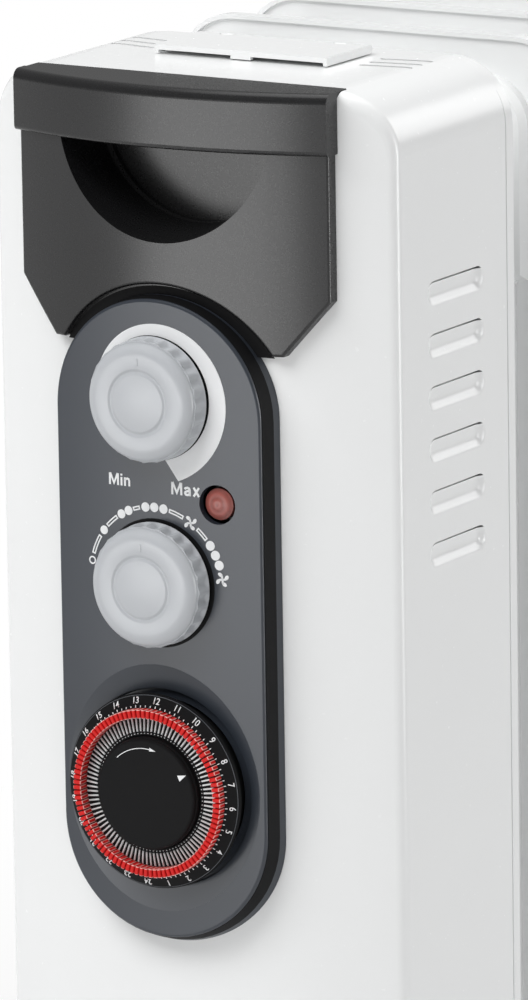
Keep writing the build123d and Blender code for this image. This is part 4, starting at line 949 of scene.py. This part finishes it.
class RADIATOR_OT_selector_signs(bpy.types.Operator):
    """Print the selector's signs: off, power steps and fan settings"""

    bl_idname = "radiator.selector_signs"
    bl_label = "Selector signs"

    def execute(self, context):
        sizes = context.scene.radiator_print
        draw = {
            "dot": self.add_dot, "ring": self.add_ring, "link": self.add_link, "fan": self.add_fan
        }
        bm = bmesh.new()
        for kind, degrees, span in SELECTOR_SIGNS:
            draw[kind](bm, sizes, degrees, span * MM)
        bmesh.ops.translate(bm, vec=(sizes.sign_shift, 0.0, 0.0), verts=bm.verts)
        thicken(bm, sizes.ink)
        lay_on_bow(bm, sizes.panel_bow)
        add_piece(
            "selector_signs", bm, ["screen_printed_white_ink"], "heater",
            on_panel("selector_knob"),
        )
        return {"FINISHED"}

    def add_dot(self, bm, sizes, degrees, span):
        """A filled circle."""
        place = Matrix.Translation(polar(sizes.sign_radius, degrees))
        bmesh.ops.create_circle(bm, cap_ends=True, segments=20, radius=span / 2, matrix=place)

    def add_ring(self, bm, sizes, degrees, span):
        """An outlined circle, drawn in the middle and then moved to its place."""
        made = bmesh.ops.create_circle(bm, cap_ends=True, segments=24, radius=span / 2)
        face = made["verts"][0].link_faces[0]
        bmesh.ops.inset_region(
            bm, faces=[face], thickness=sizes.sign_stroke, use_boundary=True, use_even_offset=True
        )
        drawn = [vert for vert in bm.verts if vert.co.length < span]
        bmesh.ops.translate(bm, vec=polar(sizes.sign_radius, degrees), verts=drawn)
        bmesh.ops.delete(bm, geom=[face], context="FACES")

    def add_link(self, bm, sizes, degrees, span):
        """An outlined bar between two signs, bent round the knob."""
        verts = add_strip(bm, span, sizes.link_width, columns=8)
        faces = list({face for vert in verts for face in vert.link_faces})
        before = set(bm.verts)
        bmesh.ops.inset_region(
            bm, faces=faces, thickness=sizes.sign_stroke, use_boundary=True, use_even_offset=True
        )
        verts = verts + [vert for vert in bm.verts if vert not in before]
        bmesh.ops.delete(bm, geom=faces, context="FACES")
        bend_round([vert for vert in verts if vert.is_valid], sizes.sign_radius, degrees)

    def add_fan(self, bm, sizes, degrees, span):
        """Blades that bulge to one side, round a small hub."""
        hub = Matrix.Translation(polar(sizes.sign_radius, degrees)) @ Matrix.Scale(span, 4)
        bmesh.ops.create_circle(bm, cap_ends=True, segments=10, radius=FAN_HUB, matrix=hub)
        for blade in range(FAN_BLADES):
            turn = 360 / FAN_BLADES * blade + FAN_TURN
            spun = hub @ Matrix.Rotation(math.radians(turn), 4, "Z")
            for (x, y), (across, along), lean in FAN_OVALS:
                place = spun @ Matrix.Translation((x, y, 0.0))
                leaning = place @ Matrix.Rotation(math.radians(lean), 4, "Z")
                oval = leaning @ Matrix.Diagonal((across, along, 1.0, 1.0))
                bmesh.ops.create_circle(bm, cap_ends=True, segments=14, radius=1.0, matrix=oval)


class RADIATOR_OT_knobs(bpy.types.Operator):
    """Turn the two moulded knobs with soft flutes that fade before the face"""

    bl_idname = "radiator.knobs"
    bl_label = "Knobs"

    def execute(self, context):
        for name, body, seat in KNOBS:
            self.make_knob(context.scene.radiator_knobs, name, body)
            self.make_mark(context.scene.radiator_knobs, name, body)
            # Painted shadow: the seat is a black ring where the shadow gap round the knob falls
            self.make_seat(context.scene.radiator_print, name, seat * MM)
        dress(("thermostat_spindle", "selector_spindle"), "zinc_plated_steel")
        return {"FINISHED"}

    def profile(self, sizes, radius, height):
        """Half section of the knob from its socket round the back to the middle of the face."""
        socket, deep = sizes.socket, sizes.socket_depth
        points = [(0.0, deep), (socket, deep), (socket, 0.0)]
        points += [(radius - sizes.foot_width, 0.0), (radius, sizes.foot_height)]
        base = height - sizes.shoulder
        rows = 12
        for row in range(1, rows + 1):
            share = row / (rows + 0.5)
            points.append((radius + (sizes.neck - radius) * share, base * share))
        soft = 0.2 * sizes.lip
        points += [(sizes.neck - soft, base - soft), (sizes.neck - 3 * soft, base)]
        head = sizes.neck - sizes.lip
        steps = 10
        for step in range(steps + 1):
            turn = math.radians(90 * step / steps)
            across = sizes.face + (head - sizes.face) * math.cos(turn)
            points.append((across, base + sizes.shoulder * math.sin(turn)))
        steps = 4
        for step in range(-steps, steps + 1):
            offset = step / steps
            dip = sizes.groove_depth * (0.5 + 0.5 * math.cos(math.pi * offset))
            points.append((sizes.groove - offset * sizes.groove_half, height - dip))
        points.append((0.0, height))
        return points

    def make_knob(self, sizes, name, body):
        """A turned knob whose flank is then drawn in to flutes."""
        low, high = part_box(name)
        radius = (high.x - low.x) / 2 + sizes.flange
        height = high.y - low.y - sizes.tick
        bm = turned(self.profile(sizes, radius, height), steps=KNOB_FLUTES * 8)
        base = height - sizes.shoulder
        for vert in bm.verts:
            across = math.hypot(vert.co.x, vert.co.y)
            if across > sizes.face and vert.co.z < base:
                ripple = 0.5 - 0.5 * math.cos(KNOB_FLUTES * math.atan2(vert.co.y, vert.co.x))
                rise = min(1.0, max(0.0, (vert.co.z - sizes.foot_height) / sizes.flute_rise))
                fade = min(1.0, max(0.0, (base - vert.co.z) / sizes.flute_fade))
                depth = sizes.flute * ripple * rise * rise * (3 - 2 * rise) * fade
                vert.co.x *= 1 - depth / across
                vert.co.y *= 1 - depth / across
        knob = add_piece(
            f"{name}_moulding", bm, ["moulded_pale_grey_abs"], body,
            on_axis(name, high.y), KNOB_CRISP_ANGLE,
        )
        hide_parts(name)

    def make_mark(self, sizes, name, body):
        """A short raised tick near the edge of the face that shows the setting."""
        size = (sizes.tick_width, sizes.tick_length, 2 * sizes.tick)
        bm = bevelled_block(size, all, offset=0.8 * sizes.tick, segments=2)
        bmesh.ops.translate(bm, vec=(0.0, sizes.tick_radius, 0.0), verts=bm.verts)
        add_piece(
            f"{name}_tick", bm, ["moulded_pale_grey_abs"], body,
            on_axis(name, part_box(name)[0].y + sizes.tick),
        )

    def make_seat(self, sizes, name, radius):
        """Painted shadow: a black ring round the back of a knob, laid on the panel's bow where the
        shadow gap falls.
        """
        bm = bmesh.new()
        for rim in (radius, sizes.seat_inner):
            bmesh.ops.create_circle(bm, cap_ends=False, segments=72, radius=rim)
        bmesh.ops.bridge_loops(bm, edges=bm.edges[:])
        thicken(bm, 0.7 * sizes.ink)
        lay_on_bow(bm, sizes.panel_bow)
        add_piece(
            f"{name}_seat", bm, ["moulded_black_abs"], "heater", on_panel(name)
        )


def spin_copies(bm, count, sweep):
    """Repeats the drawn shape evenly over a sweep round the dial's axis."""
    bmesh.ops.spin(
        bm, geom=bm.verts[:] + bm.edges[:] + bm.faces[:],
        cent=(0.0, 0.0, 0.0), axis=(0.0, 0.0, 1.0),
        angle=sweep * (count - 1) / count, steps=count - 1, use_duplicate=True,
    )


class RADIATOR_OT_day_dial(bpy.types.Operator):
    """Finish the day dial: silver ribs, dots, a painted highlight on the rim, quarter hour ticks
    and hour numbers
    """

    bl_idname = "radiator.day_dial"
    bl_label = "Day dial"

    def execute(self, context):
        sizes = context.scene.radiator_dial
        rim_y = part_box("timer_ring")[0].y + sizes.rib_low + sizes.rib_rise
        place = on_axis("timer_ring", rim_y)
        dress(("timer_ring",), "moulded_black_abs")
        self.make_ribs(sizes, place)
        self.make_rim(sizes, place)
        self.make_numbers(sizes, place, context.scene.radiator_print.ink)
        return {"FINISHED"}

    def make_ribs(self, sizes, place):
        """A rib and a dot for each quarter of an hour, on the ring that rises to the hub."""
        count = HOURS * QUARTERS_PER_HOUR
        fall = sizes.rib_rise / (sizes.rib_ring_outer - sizes.rib_ring_inner)
        size = (sizes.rib_outer - sizes.rib_inner, sizes.rib_width, sizes.rib_height)
        bm = bevelled_block(size, all, offset=0.32 * sizes.rib_width, segments=2)
        reach = (sizes.rib_inner + sizes.rib_outer) / 2
        rise = sizes.rib_low + fall * (sizes.rib_ring_outer - reach) + sizes.rib_height * 0.3
        lean = Matrix.Rotation(math.atan(fall), 4, "Y")
        turn = Matrix.Rotation(math.radians(0.5 * 360 / count), 4, "Z")
        rib = turn @ Matrix.Translation((reach, 0.0, rise)) @ lean
        bmesh.ops.transform(bm, matrix=rib, verts=bm.verts)
        dot_rise = sizes.rib_low + fall * (sizes.rib_ring_outer - sizes.dot_radius)
        dot = turn @ Matrix.Translation((sizes.dot_radius, 0.0, dot_rise))
        bmesh.ops.create_cone(
            bm, cap_ends=True, segments=6, radius1=DOT_FOOT, radius2=DOT_TOP,
            depth=DOT_HEIGHT, matrix=dot,
        )
        spin_copies(bm, count, math.tau)
        add_piece(
            "dial_ribs", bm, ["hot_stamped_silver_foil"], "timer_dial", place
        )

    def make_rim(self, sizes, place):
        """Painted highlight: a thin raised lip along the rim in slate grey, lighter than the black
        dial.
        """
        lip = sizes.rim_lip
        inner = sizes.rim - sizes.rim_line - lip
        section = (
            (inner, -lip),
            (inner + lip * 0.3, lip * 0.5),
            (inner + lip, lip * 0.5),
            (inner + lip * 1.3, -lip),
        )
        bm = turned(section, steps=144, closed=True)
        add_piece("dial_rim_line", bm, ["moulded_slate_abs"], "timer_dial", place)

    def on_slope(self, sizes, radius, degrees):
        """A place on the sloped number ring, its up direction outwards."""
        run = sizes.rim - sizes.rim_line - sizes.slope_inner
        rise = sizes.slope_rise * (sizes.rim - sizes.rim_line - radius) / run
        turn = Matrix.Rotation(math.radians(degrees - 90), 4, "Z")
        lean = Matrix.Rotation(-math.atan(sizes.slope_rise / run), 4, "X")
        return turn @ Matrix.Translation((0.0, radius, rise)) @ lean

    def make_numbers(self, sizes, place, ink):
        """The hour numbers and a tick for each quarter of an hour."""
        bm = bmesh.new()
        for hour in range(1, HOURS + 1):
            degrees = hour * 360 / HOURS + MIDNIGHT
            drawn = lettering(
                str(hour), sizes.number_height, sizes.number_bold, sizes.number_width
            )
            thicken(drawn, ink)
            matrix = self.on_slope(sizes, sizes.number_radius, degrees)
            bmesh.ops.transform(drawn, matrix=matrix, verts=drawn.verts)
            join_drawing(bm, drawn)
            for quarter in range(QUARTERS_PER_HOUR):
                tall = sizes.tick_short if quarter else sizes.tick_long
                tick = bmesh.new()
                add_strip(tick, sizes.tick_width, tall, columns=1)
                thicken(tick, ink)
                tick_degrees = degrees + quarter * 360 / HOURS / QUARTERS_PER_HOUR
                matrix = self.on_slope(sizes, sizes.tick_inner + tall / 2, tick_degrees)
                bmesh.ops.transform(tick, matrix=matrix, verts=tick.verts)
                join_drawing(bm, tick)
        add_piece(
            "dial_numbers", bm, ["screen_printed_white_ink"], "timer_dial", place
        )


class RADIATOR_OT_trippers(bpy.types.Operator):
    """Cut the captive trippers with bevelled edges, a quarter of a day in each group"""

    bl_idname = "radiator.trippers"
    bl_label = "Trippers"

    def execute(self, context):
        sizes = context.scene.radiator_dial
        count = HOURS * QUARTERS_PER_HOUR
        per_group = count // len(TRIPPER_GROUPS)
        for index, group in enumerate(TRIPPER_GROUPS):
            low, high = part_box(f"timer_trippers_{group}")
            tall = high.y - low.y
            size = (sizes.tripper_outer - sizes.tripper_inner, sizes.tripper_width, tall)
            bm = bevelled_block(size, any, offset=sizes.tripper_edge, segments=1)
            for face in bm.faces:
                # Only the bevels at the two ends, which slant, get the pale painted highlight
                face.material_index = 1 if 0.4 < abs(face.normal.x) < 0.99 else 0
            reach = (sizes.tripper_inner + sizes.tripper_outer) / 2
            first = (index * per_group + 0.5) * 360 / count
            turn = Matrix.Rotation(math.radians(first), 4, "Z")
            seat = turn @ Matrix.Translation((reach, 0.0, tall / 2))
            bmesh.ops.transform(bm, matrix=seat, verts=bm.verts)
            spin_copies(bm, per_group, math.tau / len(TRIPPER_GROUPS))
            materials = ["moulded_red_acetal", "thin_edge_of_red_acetal"]
            blades = add_piece(
                f"trippers_{group}", bm, materials, f"trippers_{group}",
                on_axis("timer_ring", high.y),
            )
            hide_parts(f"timer_trippers_{group}")
        return {"FINISHED"}


class RADIATOR_OT_dial_hub(bpy.types.Operator):
    """Finish the dial's fixed hub and print its arrow and its time pointer"""

    bl_idname = "radiator.dial_hub"
    bl_label = "Dial hub"

    def execute(self, context):
        sizes = context.scene.radiator_dial
        ink = context.scene.radiator_print.ink
        dress(("timer_hub",), "moulded_black_abs")
        place = on_axis("timer_hub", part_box("timer_hub")[0].y)
        self.make_cap(sizes, place)
        bm = bmesh.new()
        arc = sizes.arrow_radius * math.radians(ARROW_FROM - ARROW_TO)
        line = add_strip(bm, arc, sizes.arrow_line, columns=24)
        bend_round(line, sizes.arrow_radius, (ARROW_FROM + ARROW_TO) / 2)
        self.add_arrow_head(bm, sizes.arrow_radius, *ARROW_HEAD)
        self.add_arrow_head(bm, sizes.pointer_radius, *POINTER_HEAD)
        bmesh.ops.translate(bm, vec=(0.0, 0.0, sizes.cap_height), verts=bm.verts)
        thicken(bm, ink)
        add_piece(
            "hub_signs", bm, ["screen_printed_white_ink"], "heater", place
        )
        return {"FINISHED"}

    def make_cap(self, sizes, place):
        """A turned cap with a soft edge that closes the hub."""
        radius, height = sizes.cap_radius, sizes.cap_height
        edge = [(radius - inwards * MM, height - down * MM) for inwards, down in CAP_EDGE]
        sink = 2 * SKIN
        bm = turned([(0.0, height), *edge, (radius, -sink), (0.0, -sink)], steps=96)
        add_piece(
            "hub_cap", bm, ["moulded_black_abs"], "heater", place, CRISP_ANGLE
        )

    def add_arrow_head(self, bm, radius, degrees, heading, long_mm, wide_mm):
        """A triangle about a point on the hub, its tip towards a heading."""
        centre = Matrix.Translation(polar(radius, degrees))
        turn = Matrix.Rotation(math.radians(heading), 4, "Z")
        shape = Matrix.Diagonal((long_mm * MM / 1.5, wide_mm * MM / math.sqrt(3), 1.0, 1.0))
        upright = Matrix.Rotation(math.radians(-90), 4, "Z")
        matrix = centre @ turn @ shape @ upright
        bmesh.ops.create_circle(bm, cap_ends=True, segments=3, radius=1.0, matrix=matrix)


class RADIATOR_OT_running_gear(bpy.types.Operator):
    """Finish the feet, their clamps and the castors"""

    bl_idname = "radiator.running_gear"
    bl_label = "Feet and castors"

    def execute(self, context):
        dress(("front_foot", "rear_foot"), "stove_enamelled_steel")
        dress(("foot_u_bolts", "foot_wing_nuts"), "zinc_plated_steel")
        for castor in CASTORS:
            dress((f"castor_fork_{castor}", f"castor_wheels_{castor}"), "moulded_black_nylon")
            dress((f"castor_axle_{castor}",), "zinc_plated_steel")
        return {"FINISHED"}


class RADIATOR_OT_inner_works(bpy.types.Operator):
    """Finish what works inside the box: switches, blower, oil heater and terminals"""

    bl_idname = "radiator.inner_works"
    bl_label = "Inner works"

    def execute(self, context):
        switches = ("thermostat_body", "selector_switch", "timer_body", "thermal_cutout")
        dress(switches, "pressed_phenolic")
        dress(("terminal_block", "pilot_lamp", "blower_element"), "pressed_phenolic")
        dress(("control_carrier", "blower_housing", "blower_motor"), "zinc_plated_steel")
        dress(("heater_flange", "heater_tubes"), "heat_stained_steel")
        dress(("blower_impeller",), "moulded_black_nylon")
        return {"FINISHED"}


# Camera fitted to the photograph: where it stands, its right and up axes, and its lens
CAMERA_PLACE = Vector((1.33165, -2.35650, 1.06549))
CAMERA_RIGHT = Vector((0.85814, 0.51326, -0.01534))
CAMERA_UP = Vector((-0.09723, 0.19175, 0.97662))
CAMERA_LENS = 312.26
CAMERA_SENSOR = 36.0
CAMERA_CLIP = (0.1, 60.0)

# Soft boxes: name, place, width, height, power in watts
SOFT_BOXES = (
    ("card", (-0.42, -1.62, 0.29), 1.08, 0.42, 6.4),
    ("strip", (1.75, 0.35, 0.5), 0.3, 0.9, 11.0),
    ("side", (2.4, 0.2, 1.2), 1.6, 1.8, 6.5),
    ("rear", (1.2, 2.2, 1.35), 1.0, 1.0, 12.0),
    ("top", (0.0, 0.3, 3.0), 2.4, 2.4, 31.0),
    ("high", (-0.7, -1.9, 2.8), 2.2, 1.6, 63.0),
)

# Boxes that only show as reflections, and boxes that never do
REFLECTION_ONLY = ("card", "strip")
NO_REFLECTION = ("high",)

# What the boxes aim at, half the floor's side, and the light of the surroundings
AIM = Vector((0.0, -0.05, 0.42))
FLOOR_HALF = 14.0
WORLD_STRENGTH = 0.28


class RADIATOR_OT_stage(bpy.types.Operator):
    """Set the pale floor, the soft boxes, the white surroundings and the camera"""

    bl_idname = "radiator.stage"
    bl_label = "Studio"

    def execute(self, context):
        context.scene.view_settings.view_transform = "Standard"
        self.make_floor(context)
        self.make_world(context)
        for name, place, width, height, power in SOFT_BOXES:
            self.make_soft_box(context, name, Vector(place), width, height, power)
        self.make_camera(context)
        return {"FINISHED"}

    def make_floor(self, context):
        """A wide sheet of backdrop paper under the castors."""
        bm = bmesh.new()
        bmesh.ops.create_grid(bm, x_segments=1, y_segments=1, size=FLOOR_HALF)
        mesh = bpy.data.meshes.new("studio_floor")
        bm.to_mesh(mesh)
        bm.free()
        mesh.materials.append(finish("seamless_backdrop_paper"))
        floor = bpy.data.objects.new("studio_floor", mesh)
        context.scene.collection.objects.link(floor)

    def make_world(self, context):
        """Even white surroundings."""
        world = bpy.data.worlds.new("studio")
        world.use_nodes = True
        tree = world.node_tree
        tree.nodes.clear()
        white = opaque(linear("FFFFFF"))
        sky = node(tree, "ShaderNodeBackground", {"Color": white, "Strength": WORLD_STRENGTH})
        node(tree, "ShaderNodeOutputWorld", {"Surface": sky.outputs[0]})
        context.scene.world = world

    def make_soft_box(self, context, name, place, width, height, power):
        """An area light that the camera doesn't see, turned to the heater."""
        lamp = bpy.data.lights.new(f"{name}_soft_box", "AREA")
        lamp.shape = "RECTANGLE"
        lamp.size = width
        lamp.size_y = height
        lamp.energy = power
        box = bpy.data.objects.new(f"{name}_soft_box", lamp)
        box.location = place
        box.rotation_euler = (AIM - place).to_track_quat("-Z", "Y").to_euler()
        box.visible_camera = False
        box.visible_glossy = name not in NO_REFLECTION
        box.visible_diffuse = name not in REFLECTION_ONLY
        context.scene.collection.objects.link(box)

    def make_camera(self, context):
        """The camera that took the photograph."""
        camera = bpy.data.cameras.new("photo_camera")
        camera.lens = CAMERA_LENS
        camera.sensor_width = CAMERA_SENSOR
        camera.clip_start, camera.clip_end = CAMERA_CLIP
        holder = bpy.data.objects.new("photo_camera", camera)
        back = CAMERA_RIGHT.cross(CAMERA_UP)
        turn = Matrix((CAMERA_RIGHT, CAMERA_UP, back)).transposed().to_4x4()
        holder.matrix_world = Matrix.Translation(CAMERA_PLACE) @ turn
        context.scene.collection.objects.link(holder)
        context.scene.camera = holder


STEPS = (
    RADIATOR_OT_oil_fins,
    RADIATOR_OT_control_box,
    RADIATOR_OT_handle,
    RADIATOR_OT_panel,
    RADIATOR_OT_thermostat_scale,
    RADIATOR_OT_selector_signs,
    RADIATOR_OT_knobs,
    RADIATOR_OT_day_dial,
    RADIATOR_OT_trippers,
    RADIATOR_OT_dial_hub,
    RADIATOR_OT_running_gear,
    RADIATOR_OT_inner_works,
    RADIATOR_OT_stage,
)


class RADIATOR_PT_steps(bpy.types.Panel):
    """Lists the steps that dress the heater"""

    bl_idname = "RADIATOR_PT_steps"
    bl_label = "Radiator heater"
    bl_space_type = "VIEW_3D"
    bl_region_type = "UI"
    bl_category = "Radiator"

    def draw(self, context):
        for step in STEPS:
            self.layout.operator(step.bl_idname)


SETTINGS = {
    "radiator_louvres": RadiatorLouvreSizes,
    "radiator_print": RadiatorPrintSizes,
    "radiator_knobs": RadiatorKnobSizes,
    "radiator_dial": RadiatorDialSizes,
    "radiator_colours": RadiatorColours,
}
CLASSES = (*SETTINGS.values(), *STEPS, RADIATOR_PT_steps)


def register():
    for cls in CLASSES:
        bpy.utils.register_class(cls)
    for name, group in SETTINGS.items():
        setattr(bpy.types.Scene, name, PointerProperty(type=group))


def unregister():
    for name in SETTINGS:
        delattr(bpy.types.Scene, name)
    for cls in reversed(CLASSES):
        bpy.utils.unregister_class(cls)


def main():
    register()
    bpy.ops.radiator.oil_fins()
    bpy.ops.radiator.control_box()
    bpy.ops.radiator.handle()
    bpy.ops.radiator.panel()
    bpy.ops.radiator.thermostat_scale()
    bpy.ops.radiator.selector_signs()
    bpy.ops.radiator.knobs()
    bpy.ops.radiator.day_dial()
    bpy.ops.radiator.trippers()
    bpy.ops.radiator.dial_hub()
    bpy.ops.radiator.running_gear()
    bpy.ops.radiator.inner_works()
    bpy.ops.radiator.stage()


if __name__ == "__main__":
    main()
